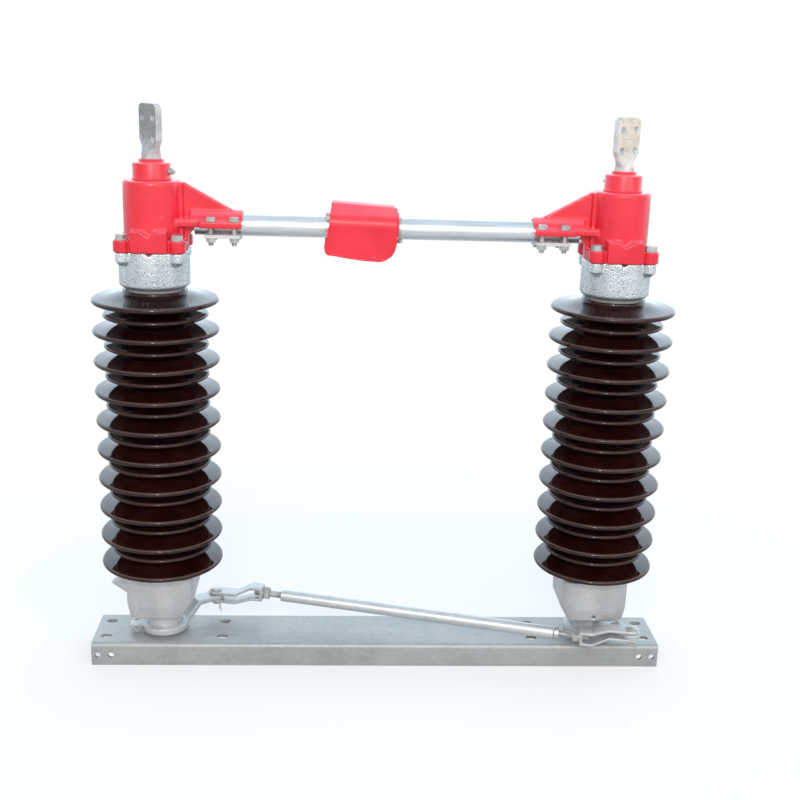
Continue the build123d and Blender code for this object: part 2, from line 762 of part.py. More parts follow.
with BuildPart() as contact_fingers:
    for floor in (finger_floor, 2 * arm_height - finger_floor - finger_thickness):
        with BuildSketch(Plane.XY.offset(floor)):
            with Locations(((left_tube_tip + finger_start + finger_reach) / 2, 0)):
                with GridLocations(0, finger_pitch, 1, finger_count):
                    SlotOverall(finger_reach - left_tube_tip - finger_start, finger_width)
        extrude(amount=finger_thickness)
contact_fingers.part.label = "contact_fingers"
export_step(contact_fingers.part, "parts/contact_fingers.step")

with BuildPart() as contact_blade:
    with BuildSketch(Plane.YZ.offset(right_tube_tip)):
        with Locations((0, arm_height)):
            Circle(tube_radius - tube_wall - seat_clearance)
    extrude(amount=plug_length)
    with BuildSketch(Plane.YZ.offset(right_tube_tip - plug_collar)):
        with Locations((0, arm_height)):
            Circle(tube_radius + blade_collar)
    extrude(amount=plug_collar)
    with BuildSketch(Plane.XY.offset(arm_height - blade_thickness / 2)):
        with Locations((blade_tip, 0)):
            Rectangle(right_tube_tip - blade_tip, 2 * blade_half_width, align=(Align.MIN, Align.CENTER))
    extrude(amount=blade_thickness)
    fillet(contact_blade.edges().filter_by(Axis.Z).group_by(Axis.X)[0], blade_corner)
contact_blade.part.label = "contact_blade"
export_step(contact_blade.part, "parts/contact_blade.step")

# rain hood: gabled sheet cover whose ridge falls to the right, open below and at both ends
hood_fold = arm_height + hood_fold_rise
hood_outline = (hood_left_low, hood_left_high, hood_right_high, hood_right_fold, hood_right_low)
hood_bottom = arm_height + hood_right_low[1] - hood_wall


def hood_ridge(reach):
    return arm_height + hood_left_ridge_rise - hood_ridge_fall * (reach - hood_left_low[0]) / hood_length


with BuildPart() as rain_hood:
    for inset, mode in ((0, Mode.ADD), (hood_wall, Mode.SUBTRACT)):
        for reach in (hood_left_low[0], hood_right_fold[0]):
            floor = hood_bottom - 2 * inset
            with BuildSketch(Plane.YZ.offset(reach)) as hood_section:
                with BuildLine():
                    Polyline((-hood_half_width, floor), (-hood_half_width, hood_fold),
                             (-hood_ridge_half, hood_ridge(reach)), (hood_ridge_half, hood_ridge(reach)),
                             (hood_half_width, hood_fold), (hood_half_width, floor), close=True)
                make_face()
                fillet(hood_section.vertices().group_by(Axis.Y)[1], hood_fold_fillet)
                fillet(hood_section.vertices().group_by(Axis.Y)[-1], hood_ridge_fillet)
                if inset:
                    offset(amount=-inset, mode=Mode.REPLACE)
        loft(ruled=True, mode=mode)
    with BuildSketch(Plane.XZ) as hood_side:
        with BuildLine():
            Polyline(*[(reach, arm_height + rise) for reach, rise in hood_outline], close=True)
        make_face()
        fillet(hood_side.vertices().sort_by(Axis.Y)[0], hood_right_fillet)
        fillet(hood_side.vertices().sort_by(Axis.X)[0], hood_left_fillet)
    extrude(amount=hood_half_width, both=True, mode=Mode.INTERSECT)
rain_hood.part.label = "rain_hood"
export_step(rain_hood.part, "parts/rain_hood.step")

# saddle that carries the hood on the left tube, with a tab out past the hood's end
with BuildPart() as hood_saddle:
    hood_post_to = hood_post_from + hood_post_length
    with BuildSketch(Plane.XZ):
        with BuildLine():
            Polyline((hood_post_from, arm_height), (hood_post_from, hood_ridge(hood_post_from) - hood_wall),
                     (hood_post_to, hood_ridge(hood_post_to) - hood_wall), (hood_post_to, arm_height), close=True)
        make_face()
    extrude(amount=hood_post_width / 2, both=True)
    with BuildSketch(Plane.XY.offset(hood_tab_floor)):
        with Locations((hood_post_from - hood_tab_length, 0)):
            Rectangle(hood_tab_length, hood_post_width, align=(Align.MIN, Align.CENTER))
    extrude(amount=hood_tab_height)
    with BuildSketch(Plane.YZ.offset(hood_post_from - hood_tab_length)):
        with Locations((0, arm_height)):
            Circle(tube_bore_radius)
    extrude(amount=hood_tab_length + hood_post_length, mode=Mode.SUBTRACT)
hood_saddle.part.label = "hood_saddle"
export_step(hood_saddle.part, "parts/hood_saddle.step")

# ---- crossed link: two strap forks, studs with lock nuts, and the rod ----
left_web_height = eye_height + left_joggle
right_web_height = eye_height - right_joggle
rod_start = left_pin + link_direction * fork_length + up * left_web_height
rod_end = right_pin - link_direction * fork_length + up * right_web_height
rod_direction = (rod_end - rod_start).normalized()
lower_flat = eye_floor - fork_gap
upper_flat = eye_top + fork_gap
web_outer = fork_mouth / 2 + strap_thickness
web_start = fork_length - fork_bend_back

for side, pin, heading, web_height, stud_length in (
    ("left", left_pin, link_direction, left_web_height, left_stud_length),
    ("right", right_pin, link_direction * -1, right_web_height, right_stud_length),
):
    with BuildPart() as fork:
        with BuildSketch(upright_plane(pin, heading)):
            with BuildLine():
                Polyline((0, lower_flat - strap_thickness), (fork_flat, lower_flat - strap_thickness),
                         (web_start, web_height - web_outer), (fork_length, web_height - web_outer),
                         (fork_length, web_height + web_outer), (web_start, web_height + web_outer),
                         (fork_flat, upper_flat + strap_thickness), (0, upper_flat + strap_thickness),
                         close=True)
            make_face()
            with BuildLine():
                Polyline((0, lower_flat), (fork_flat, lower_flat),
                         (web_start, web_height - fork_mouth / 2),
                         (fork_length - strap_thickness, web_height - fork_mouth / 2),
                         (fork_length - strap_thickness, web_height + fork_mouth / 2),
                         (web_start, web_height + fork_mouth / 2), (fork_flat, upper_flat),
                         (0, upper_flat), close=True)
            make_face(mode=Mode.SUBTRACT)
        extrude(amount=strap_width / 2, both=True)
        for floor in (lower_flat - strap_thickness, upper_flat):
            with BuildSketch(Plane.XY.offset(floor)):
                with Locations((pin.X, pin.Y)):
                    Circle(strap_width / 2)
            extrude(amount=strap_thickness)
        with BuildSketch(Plane.XY):
            with Locations((pin.X, pin.Y)):
                Circle(pin_radius + running_clearance)
        extrude(amount=upper_flat + strap_thickness, mode=Mode.SUBTRACT)
        web_centre = pin + heading * fork_length + up * web_height
        out_along = rod_direction if side == "left" else rod_direction * -1
        with BuildSketch(Plane(origin=web_centre + out_along * strap_thickness, z_dir=out_along)):
            Circle(stud_radius + seat_clearance)
        extrude(amount=-3 * strap_thickness, mode=Mode.SUBTRACT)
    fork.part.label = f"{side}_fork"
    export_step(fork.part, f"parts/{side}_fork.step")

    with BuildPart() as fork_pin:
        with BuildSketch(Plane.XY.offset(lower_flat - strap_thickness - pin_end)):
            with Locations((pin.X, pin.Y)):
                Circle(pin_radius)
        extrude(amount=upper_flat - lower_flat + 2 * strap_thickness + pin_end)
        with BuildSketch(Plane.XY.offset(upper_flat + strap_thickness)):
            with Locations((pin.X, pin.Y)):
                Circle(pin_head_radius)
        extrude(amount=pin_head_height)
        chamfer(fork_pin.edges().group_by(Axis.Z)[-1], 1)
    fork_pin.part.label = f"{side}_fork_pin"
    export_step(fork_pin.part, f"parts/{side}_fork_pin.step")

    # threaded stud with its lock nut against the fork
    with BuildPart() as stud:
        with BuildSketch(Plane(origin=web_centre - out_along * stud_inside, z_dir=out_along)):
            Circle(stud_radius)
        extrude(amount=stud_inside + stud_length)
        with BuildSketch(Plane(origin=web_centre + out_along * nut_gap, z_dir=out_along)):
            RegularPolygon(nut_across / 2, 6, major_radius=False)
        extrude(amount=nut_height)
        if side == "left":
            with BuildSketch(Plane(origin=web_centre + out_along * stud_length, z_dir=out_along)):
                Circle(link_bore_radius - seat_clearance / 2)
            extrude(amount=link_insert)
        else:
            with BuildSketch(Plane(origin=web_centre + out_along * (stud_length - stud_collar_length),
                                   z_dir=out_along)):
                Circle(link_radius)
            extrude(amount=stud_collar_length)
    stud.part.label = f"{side}_stud"
    export_step(stud.part, f"parts/{side}_stud.step")

rod_length = (rod_end - rod_start).length - left_stud_length - right_stud_length - open_joint_gap
with BuildPart() as link_rod:
    with BuildSketch(Plane(origin=rod_start + rod_direction * left_stud_length, z_dir=rod_direction)):
        Circle(link_radius)
        Circle(link_bore_radius, mode=Mode.SUBTRACT)
    extrude(amount=rod_length)
link_rod.part.label = "link_rod"
export_step(link_rod.part, "parts/link_rod.step")
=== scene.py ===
import json
import math
import bmesh
import bpy
import numpy as np
from mathutils import Matrix, Vector


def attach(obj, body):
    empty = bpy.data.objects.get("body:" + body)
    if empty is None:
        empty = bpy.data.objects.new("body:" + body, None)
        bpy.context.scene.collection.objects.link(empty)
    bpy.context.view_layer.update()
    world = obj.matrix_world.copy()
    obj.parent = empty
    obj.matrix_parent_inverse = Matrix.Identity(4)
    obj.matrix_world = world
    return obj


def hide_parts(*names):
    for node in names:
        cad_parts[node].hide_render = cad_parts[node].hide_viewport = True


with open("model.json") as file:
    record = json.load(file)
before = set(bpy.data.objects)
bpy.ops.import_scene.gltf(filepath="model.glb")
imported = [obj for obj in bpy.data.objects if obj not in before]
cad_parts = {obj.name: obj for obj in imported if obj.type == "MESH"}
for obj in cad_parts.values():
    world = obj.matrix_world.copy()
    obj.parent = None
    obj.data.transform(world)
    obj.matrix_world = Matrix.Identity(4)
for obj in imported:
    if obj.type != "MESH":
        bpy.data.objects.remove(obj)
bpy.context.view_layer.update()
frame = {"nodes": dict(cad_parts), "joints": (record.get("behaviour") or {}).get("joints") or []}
nodes = frame["nodes"]
joints = {joint["name"]: np.array(joint["pos_m"]) for joint in frame["joints"]}
tau = 2 * math.pi
print("frame loaded:", len(nodes), "nodes")


def makePiece(name, grids, material, body, replaced=(), crease=35, attributes=None):
    # a mesh from grids of rows x columns x 3. Columns close on themselves, rows end in poles or open rims
    points, faces, start = [], [], 0
    for grid in grids:
        rows, columns, _ = grid.shape
        row, column = np.meshgrid(np.arange(rows - 1), np.arange(columns), indexing="ij")
        nextColumn = (column + 1) % columns
        quads = np.stack([row * columns + column, row * columns + nextColumn,
                          (row + 1) * columns + nextColumn, (row + 1) * columns + column], -1)
        faces.append(quads.reshape(-1, 4) + start)
        points.append(grid.reshape(-1, 3))
        start += rows * columns
    points, faces = np.concatenate(points), np.concatenate(faces)
    mesh = bpy.data.meshes.new(name)
    mesh.vertices.add(len(points))
    mesh.vertices.foreach_set("co", points.astype(np.float32).ravel())
    mesh.loops.add(4 * len(faces))
    mesh.loops.foreach_set("vertex_index", faces.astype(np.int32).ravel())
    mesh.polygons.add(len(faces))
    mesh.polygons.foreach_set("loop_start", np.arange(0, 4 * len(faces), 4, dtype=np.int32))
    mesh.update()
    for key, values in (attributes or {}).items():
        layer = mesh.attributes.new(key, "FLOAT", "POINT")
        layer.data.foreach_set("value", np.asarray(values, np.float32).ravel())
    closeUp(mesh)
    return dress(bpy.data.objects.new(name, mesh), material, body, replaced, crease)


def closeUp(mesh, distance=1e-6):  # poles and seams become single points, faces turn outwards
    shape = bmesh.new()
    shape.from_mesh(mesh)
    bmesh.ops.remove_doubles(shape, verts=shape.verts, dist=distance)
    bmesh.ops.dissolve_degenerate(shape, edges=shape.edges, dist=distance)
    bmesh.ops.recalc_face_normals(shape, faces=shape.faces)
    shape.to_mesh(mesh)
    shape.free()


def dress(piece, material, body, replaced=(), crease=35):
    if piece.name not in bpy.context.scene.collection.objects:
        bpy.context.scene.collection.objects.link(piece)
    piece.data.materials.clear()
    piece.data.materials.append(material)
    piece.data.shade_smooth()
    piece.data.set_sharp_from_angle(angle=math.radians(crease))
    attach(piece, body)
    if replaced:
        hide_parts(*replaced)
    return piece


def place(grid, origin, axis=(0, 0, 1), side=None):
    # carries a grid made about the Z axis to an origin, its Z turned to the axis
    w = np.array(axis, float) / np.linalg.norm(axis)
    guess = np.array(side if side is not None else ((1, 0, 0) if abs(w[0]) < 0.9 else (0, 1, 0)), float)
    v = np.cross(w, guess)
    v /= np.linalg.norm(v)
    u = np.cross(v, w)
    return np.asarray(origin, float) + grid @ np.array([u, v, w])


def turned(profile, steps=48):
    # a profile of (radius, height) carried once round the Z axis
    profile = np.asarray(profile, float)
    angle = np.arange(steps) * tau / steps
    radius, height = profile[:, :1], profile[:, 1:]
    return np.stack([radius * np.cos(angle), radius * np.sin(angle), height + 0 * angle], -1)


chamfer = {"share": 0.14, "width": 0.97, "slope": 1.75}  # share of the height, top width, how the cone widens


def hexagon(across, height, bore=0.0, steps=72, both=False):
    # radius = the hexagon's edge or the chamfer cone's, whichever is smaller, at each angle and height
    half, share = across / 2, chamfer["share"]
    levels = np.concatenate([np.linspace(0, share, 4 if both else 2), np.linspace(1 - share, 1, 5)]) * height
    angle = np.arange(steps) * tau / steps
    flat = half / np.cos((angle + tau / 12) % (tau / 6) - tau / 12)
    room = height - levels if not both else np.minimum(height - levels, levels)
    radius = np.minimum(flat[None, :], half * chamfer["width"] + room[:, None] * chamfer["slope"])
    wall = np.stack([radius * np.cos(angle), radius * np.sin(angle), levels[:, None] + 0 * radius], -1)
    rim = np.stack([bore * np.cos(angle), bore * np.sin(angle), 0 * angle], -1)
    return np.concatenate([rim[None], wall, (rim + [0, 0, height])[None]])


def threaded(radius, length, pitch=0.00175, depth=0.0008, steps=20, tip=True):
    # radius falls and rises once each pitch along the length, and the groove climbs one pitch a turn.
    # At the tip it fades over one pitch and the end is narrowed by 1.4 groove depths
    count = max(int(length / pitch * 4), 8)
    height = np.linspace(0, length, count)[:, None]
    angle = (np.arange(steps) * tau / steps)[None, :]
    phase = (height / pitch - angle / tau) % 1
    groove = depth * np.abs(2 * phase - 1)
    fade = np.clip((length - height) / pitch, 0, 1) if tip else 1
    wall = radius - groove * fade - (1 - fade) * depth * 1.4
    grid = np.stack([wall * np.cos(angle), wall * np.sin(angle), height + 0 * wall], -1)
    pole = np.zeros((1, steps, 3))
    return np.concatenate([pole, grid, pole + [0, 0, length]])


def washer(inner, outer, thickness, steps=40):
    # a flat ring turned from its section, its outer edges broken by a quarter of the thickness
    soft = thickness * 0.25
    return turned([(inner, 0), (outer - soft, 0), (outer, soft), (outer, thickness - soft),
                   (outer - soft, thickness), (inner, thickness), (inner, 0)], steps)


def swept(path, radius, steps=12, closed=False):
    # a circle of the given radius carried along a path of points, in frames that turn with it
    path = np.asarray(path, float)
    ahead = np.gradient(path, axis=0)
    if closed:
        ahead = np.roll(path, -1, 0) - np.roll(path, 1, 0)
    ahead /= np.linalg.norm(ahead, axis=1, keepdims=True)
    spread = ahead.max(0) - ahead.min(0)
    level = np.eye(3)[int(np.argmin(spread + np.abs(ahead).max(0)))]
    across = np.cross(ahead, level)
    across /= np.linalg.norm(across, axis=1, keepdims=True)
    rise = np.cross(across, ahead)
    angle = np.arange(steps) * tau / steps
    size = np.broadcast_to(np.asarray(radius, float).reshape(-1, 1), (len(path), 1))
    ring = (across[:, None] * np.cos(angle)[None, :, None] + rise[:, None] * np.sin(angle)[None, :, None])
    grid = path[:, None] + ring * size[:, None]
    if closed:
        return np.concatenate([grid, grid[:1]])
    return np.concatenate([np.repeat(path[:1, None], steps, 1), grid, np.repeat(path[-1:, None], steps, 1)])


def ownCopy(name, node):
    # a node's mesh once more, under a name of its own and without the node's marks
    piece = nodes[node].copy()
    piece.data = nodes[node].data.copy()
    piece.name = piece.data.name = name
    piece.parent = None
    for key in [key for key in piece.keys() if key.startswith("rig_")]:
        del piece[key]
    bpy.context.scene.collection.objects.link(piece)
    return piece


def softCopy(name, node, material, body, slot, voxel, passes):
    # a cast or forged piece: the node's own shape, remeshed evenly and eased so that its edges are round
    piece = ownCopy(name, node)
    closeUp(piece.data, 1e-5)
    remesh = piece.modifiers.new("evenMesh", "REMESH")
    remesh.mode = "VOXEL"
    remesh.voxel_size = voxel
    ease = piece.modifiers.new("easedEdges", "SMOOTH")
    ease.iterations = passes
    ease.factor = 0.5
    bpy.context.view_layer.update()
    baked = bpy.data.meshes.new_from_object(piece.evaluated_get(bpy.context.evaluated_depsgraph_get()))
    piece.modifiers.clear()
    piece.data = baked
    baked.name = name
    return dress(piece, material, body, [node], 60)


def edgedCopy(name, node, material, body, width, crease=30):
    # a pressed piece: the node's own shape with its sharp edges broken
    piece = ownCopy(name, node)
    shape = bmesh.new()
    shape.from_mesh(piece.data)
    bmesh.ops.remove_doubles(shape, verts=shape.verts, dist=1e-5)
    bmesh.ops.dissolve_limit(shape, angle_limit=math.radians(1), verts=shape.verts, edges=shape.edges)
    shape.to_mesh(piece.data)
    shape.free()
    bevel = piece.modifiers.new("brokenEdges", "BEVEL")
    bevel.width = width
    bevel.segments = 2
    bevel.limit_method = "ANGLE"
    bevel.angle_limit = math.radians(crease)
    return dress(piece, material, body, [node], crease)


class Wire:  # one socket, with the arithmetic that Math nodes do
    def __init__(self, finish, socket):
        self.finish, self.socket = finish, socket

    def math(self, operation, *values):
        return self.finish.add("ShaderNodeMath", {"operation": operation}, dict(enumerate(values)))

    def __add__(self, other):
        return self.math("ADD", self, other)

    def __radd__(self, other):
        return self.math("ADD", other, self)

    def __sub__(self, other):
        return self.math("SUBTRACT", self, other)

    def __rsub__(self, other):
        return self.math("SUBTRACT", other, self)

    def __mul__(self, other):
        return self.math("MULTIPLY", self, other)

    def __rmul__(self, other):
        return self.math("MULTIPLY", other, self)


class Finish:  # one material, or the world, being put together
    def __init__(self, owner, shader="ShaderNodeBsdfPrincipled", output="ShaderNodeOutputMaterial",
                 place="Object"):
        self.owner = owner
        owner.use_nodes = True
        self.tree = owner.node_tree
        self.tree.nodes.clear()
        self.shader = self.tree.nodes.new(shader)
        self.surface = self.tree.nodes.new(output).inputs["Surface"]
        self.tree.links.new(self.shader.outputs[0], self.surface)
        self.place = self.add("ShaderNodeTexCoord", {}, {}, place)

    def add(self, kind, settings, values, output=0):  # any node: settings first, then sockets
        node = self.tree.nodes.new(kind)
        for key, value in settings.items():
            setattr(node, key, value)
        for key, value in values.items():
            self.feed(node.inputs[key], value)
        return Wire(self, node.outputs[output])

    def feed(self, socket, value):
        if isinstance(value, Wire):
            self.tree.links.new(value.socket, socket)
        elif isinstance(value, (tuple, list)) and len(value) == 3 and len(socket.default_value) == 4:
            socket.default_value = (*value, 1)
        else:
            socket.default_value = value

    def stretch(self, scale, turn=(0, 0, 0)):  # the pattern's place, scaled along each axis and turned
        return self.add("ShaderNodeMapping", {}, {"Vector": self.place, "Scale": scale, "Rotation": turn})

    def noise(self, scale, detail=4, roughness=0.55, where=None):
        return self.add("ShaderNodeTexNoise", {}, {"Vector": where or self.place, "Scale": scale,
                                                   "Detail": detail, "Roughness": roughness})

    def cells(self, scale, output="Distance"):
        return self.add("ShaderNodeTexVoronoi", {}, {"Vector": self.place, "Scale": scale}, output)

    def rise(self, value, low, high, bottom=0.0):  # a smooth step up to 1 between two values
        return self.add("ShaderNodeMapRange", {"interpolation_type": "SMOOTHSTEP"},
                        {"Value": value, "From Min": low, "From Max": high, "To Min": bottom})

    def blend(self, amount, first, second):
        return self.add("ShaderNodeMix", {"data_type": "RGBA"}, {0: amount, 6: first, 7: second}, 2)

    def split(self, vector, axis):
        return self.add("ShaderNodeSeparateXYZ", {}, {0: vector}, "XYZ".index(axis))

    def facing(self, axis):  # how far the surface faces along an axis
        return self.split(self.add("ShaderNodeNewGeometry", {}, {}, "Normal"), axis)

    def relief(self, height, strength, distance):
        return self.add("ShaderNodeBump", {}, {"Height": height, "Strength": strength, "Distance": distance})

    def seen(self, share):  # 1 where the camera looks straight at it, a share of 1 in metal and through glass
        straight = self.add("ShaderNodeLightPath", {}, {}, "Is Camera Ray")
        rays = straight.socket.node.outputs
        glossy, through = (Wire(self, rays[key]) for key in ("Is Glossy Ray", "Is Transmission Ray"))
        return straight + (glossy + through) * share

    def whiten(self, amount, glow):  # plain white of strength 1, mixed over the shader
        white = self.add(glow, {}, {"Color": (1, 1, 1), "Strength": 1.0})
        lit = Wire(self, self.shader.outputs[0])
        self.feed(self.surface, self.add("ShaderNodeMixShader", {}, {0: amount, 1: lit, 2: white}))

    def done(self, **sockets):
        for key, value in sockets.items():
            self.feed(self.shader.inputs[key.replace("_", " ")], value)
        return self.owner


def newFinish(name):
    return Finish(bpy.data.materials.new(name))


zincLook = {"dark": (0.375, 0.38, 0.38), "light": (0.49, 0.50, 0.50), "spangle": 190.0, "metal": 0.3}


def galvanisedSteel(name, light=1.0, metal=zincLook["metal"], rough=0.42, grain=300.0, streak=(3, 30, 30)):
    # mottled zinc with small flakes, runs drawn out one way, a paler haze and a few long scratches
    finish = newFinish(name)
    mottle = finish.noise(16, 6, 0.6)
    flake = finish.split(finish.cells(zincLook["spangle"], "Color"), "X")
    runs = finish.noise(5, 5, 0.6, finish.stretch(streak))
    haze = finish.rise(finish.noise(6, 4, 0.6), 0.52, 0.74)
    strokes = finish.noise(9, 2, 0.5, finish.stretch((2, 60, 90), turn=(0, 0.06, 0.1)))
    scratch = finish.rise(strokes, 0.69, 0.73)
    amount = mottle * 0.55 + flake * 0.12 + runs * 0.33
    dark, bright = ([channel * light for channel in zincLook[key]] for key in ("dark", "light"))
    colour = finish.blend(finish.rise(amount, 0.28, 0.72), dark, bright)
    colour = finish.blend(haze * 0.30, colour, [min(channel * 1.2, 0.9) for channel in bright])
    colour = finish.blend(scratch * 0.35, colour, [min(channel * 1.4, 0.92) for channel in bright])
    roughness = rough - 0.08 + mottle * 0.16 + haze * 0.12 - scratch * 0.1
    normal = finish.relief(finish.noise(grain, 4) * 0.5 + mottle * 0.5 + scratch * -0.2, 0.22, 0.0006)
    return finish.done(Base_Color=colour, Roughness=roughness, Metallic=metal, Normal=normal)


# the last colour is that of the painted glints
castLook = {"pit": 230.0, "lump": 70.0, "depth": 0.0011, "metal": 0.5, "fleck": (0.95, 0.96, 0.97)}


def castIron(name, dark, light, rough, sparkle, strength, lumps=castLook["lump"], metal=castLook["metal"]):
    # clouded zinc over a sand casting: lumps, grit and pits, painted shade darkening the pits, and painted
    # glints as near-white flecks
    finish = newFinish(name)
    lump = finish.noise(lumps, 5, 0.6)
    grit = finish.noise(castLook["pit"] * 2.2, 3, 0.6)
    pit = finish.rise(finish.cells(castLook["pit"]), 0.12, 0.34)
    cloud = finish.noise(14, 5, 0.6)
    runs = finish.noise(8, 4, 0.55, finish.stretch((5, 5, 1.2)))
    colour = finish.blend(finish.rise(cloud * 0.55 + runs * 0.45, 0.32, 0.68), dark, light)
    # painted shade: the pits are darkened
    colour = finish.blend((1 - pit) * 0.35, colour, [channel * 0.55 for channel in dark])
    # painted glints: near-white flecks in the colour, as strong as sparkle, and smoother
    fleck = finish.rise(finish.noise(520, 2, 0.5), 0.62, 0.7)
    colour = finish.blend(fleck * sparkle, colour, castLook["fleck"])
    roughness = rough + (lump - 0.5) * 0.25 - fleck * sparkle * 0.25
    normal = finish.relief(lump * 0.6 + grit * 0.25 + pit * 0.35, strength, castLook["depth"] * (1 + sparkle))
    return finish.done(Base_Color=colour, Roughness=roughness, Metallic=metal, Normal=normal)


# rim: the colour of the pale band on each rim, thin glaze with a painted highlight line
glazeLook = {"deep": (0.014, 0.0026, 0.0018), "brown": (0.030, 0.0056, 0.0040), "rim": (0.22, 0.125, 0.10),
             "speck": (0.012, 0.006, 0.005), "dust": (0.16, 0.13, 0.12), "rough": 0.045, "bend": 1.43,
             "coat": 0.08, "coatRough": 0.03}


def brownGlaze(name):
    # dark glaze, paler on each rim as thin glaze and a painted highlight line, with kiln specks and a trace
    # of dust on top
    finish = newFinish(name)
    cloud = finish.noise(9, 5, 0.6)
    runs = finish.noise(7, 4, 0.55, finish.stretch((6, 6, 1)))
    rim = finish.add("ShaderNodeAttribute", {"attribute_name": "rimPaleBand"}, {}, "Fac")
    depth = finish.rise(cloud * 0.6 + runs * 0.4, 0.36, 0.64)
    colour = finish.blend(depth, glazeLook["deep"], glazeLook["brown"])
    # the rim's pale band, partly a painted highlight line along its upper shoulder
    colour = finish.blend(rim * (0.30 + finish.noise(40, 3) * 0.4), colour, glazeLook["rim"])
    speck = finish.rise(finish.cells(160), 0.10, 0.05) * finish.rise(finish.noise(30, 2), 0.6, 0.66)
    colour = finish.blend(speck * 0.5, colour, glazeLook["speck"])
    dust = finish.rise(finish.facing("Z"), 0.75, 0.98) * finish.rise(finish.noise(18, 5, 0.65), 0.42, 0.72)
    colour = finish.blend(dust * 0.035, colour, glazeLook["dust"])
    roughness = glazeLook["rough"] + dust * 0.06 + cloud * 0.02
    normal = finish.relief(finish.noise(55, 3, 0.5) + speck * 0.3, 0.08, 0.001)
    return finish.done(Base_Color=colour, Roughness=roughness, Metallic=0.0, Coat_Weight=glazeLook["coat"],
                       Coat_Roughness=glazeLook["coatRough"], IOR=glazeLook["bend"], Normal=normal)


# pale is the painted light on upward faces, hollow the painted shade in small hollows
enamelLook = {"deep": (0.78, 0.010, 0.026), "plain": (0.90, 0.022, 0.050), "pale": (0.95, 0.36, 0.46),
              "chip": (0.33, 0.28, 0.27), "hollow": (0.42, 0.006, 0.016)}


def redEnamel(name, cast=1.0, coat=0.45, rough=0.27):
    # gloss paint over a casting, or over sheet where cast is low: paler on top with painted light from above,
    # darker in small hollows with painted shade, with a few chips
    finish = newFinish(name)
    cloud = finish.noise(12, 4, 0.55)
    lump = finish.noise(85, 5, 0.62)
    peel = finish.noise(420, 2, 0.5)
    colour = finish.blend(finish.rise(cloud, 0.35, 0.65), enamelLook["deep"], enamelLook["plain"])
    # painted light from above: upward faces turn pale
    paintedTopLight = finish.rise(finish.facing("Z"), 0.45, 0.98) * (0.55 + cloud * 0.4)
    colour = finish.blend(paintedTopLight * 0.45, colour, enamelLook["pale"])
    chip = finish.rise(finish.noise(140, 3, 0.5), 0.735, 0.75) * finish.rise(finish.noise(9, 2), 0.5, 0.62)
    colour = finish.blend(chip * 0.8, colour, enamelLook["chip"])
    # painted shade: small hollows of the casting darken
    low = finish.rise(finish.cells(110), 0.05, 0.22)
    colour = finish.blend((1 - low) * 0.25 * cast, colour, enamelLook["hollow"])
    roughness = rough + cloud * 0.08 + chip * 0.3 + paintedTopLight * 0.05
    normal = finish.relief(lump * 0.75 * cast + peel * 0.12 + low * 0.2 * cast - chip * 0.3, 0.42, 0.001)
    return finish.done(Base_Color=colour, Roughness=roughness, Metallic=0.0, Coat_Weight=coat - chip * 0.4,
                       Coat_Roughness=0.09, Normal=normal)


tubeLook = {"dark": (0.70, 0.72, 0.74), "light": (0.88, 0.90, 0.92), "along": (0.6, 24, 24), "rough": 0.26,
            "metal": 0.95, "tarnish": 0.15}


def drawnTube(name):
    # fine lines run along the tube, so the pattern is stretched that way
    finish = newFinish(name)
    lines = finish.noise(28, 3, 0.5, finish.stretch(tubeLook["along"]))
    cloud = finish.noise(11, 5, 0.6)
    dull = finish.rise(cloud, 0.5, 0.72)
    dark, bright = tubeLook["dark"], tubeLook["light"]
    colour = finish.blend(finish.rise(lines * 0.6 + cloud * 0.4, 0.36, 0.66), dark, bright)
    colour = finish.blend(dull * tubeLook["tarnish"], colour, [channel * 0.72 for channel in dark])
    dent = finish.rise(finish.cells(60), 0.08, 0.03)
    roughness = tubeLook["rough"] + dull * 0.14 + lines * 0.08
    normal = finish.relief(lines * 0.5 + cloud * 0.5 - dent * 0.2, 0.10, 0.0006)
    return finish.done(Base_Color=colour, Roughness=roughness, Metallic=tubeLook["metal"], Normal=normal)


# speck is the colour of the painted glints; the painted face light fades in between the foot and head heights
palmLook = {"foot": 0.800, "head": 0.850, "speck": (0.92, 0.92, 0.92), "rough": 0.48, "metal": 0.25}


def palmMetal(name, turn, face, edge, tint):
    # painted light by facing: faces along the palm's normal take one colour with grain, the edges, holes and
    # foot another, speckled with painted glints
    finish = newFinish(name)
    normal = finish.add("ShaderNodeTexCoord", {}, {}, "Normal")
    square = (math.cos(math.radians(turn)), math.sin(math.radians(turn)), 0)
    out = finish.add("ShaderNodeVectorMath", {"operation": "DOT_PRODUCT"}, {0: normal, 1: square}, "Value")
    # 1 on faces along the palm's normal, for the painted light by facing
    flat = finish.rise(out * out, 0.55, 0.8)
    cloud = finish.noise(70, 5, 0.6)
    grain = finish.noise(60, 3, 0.5, finish.stretch((1, 1, 9)))
    # painted glints on the edges and holes
    speck = finish.rise(finish.noise(420, 2, 0.5), 0.56, 0.66)
    paintedFaceLight = finish.blend(finish.rise(cloud * 0.6 + grain * 0.4, 0.36, 0.64),
                          *([channel * tone for channel in tint] for tone in face))
    # forged is the colour under painted light on the edges, holes and foot
    forged = finish.blend(finish.rise(cloud, 0.36, 0.64), *((tone, tone, tone * 1.02) for tone in edge))
    forged = finish.blend(speck * 0.4, forged, palmLook["speck"])
    high = finish.rise(finish.split(finish.place, "Z"), palmLook["foot"], palmLook["head"])
    colour = finish.blend(flat * (0.25 + high * 0.75), forged, paintedFaceLight)
    roughness = palmLook["rough"] - speck * 0.1 + cloud * 0.06
    bumps = finish.relief(cloud * 0.6 + speck * 0.4 * (1 - flat), 0.25, 0.0008)
    return finish.done(Base_Color=colour, Roughness=roughness, Metallic=palmLook["metal"], Normal=bumps)


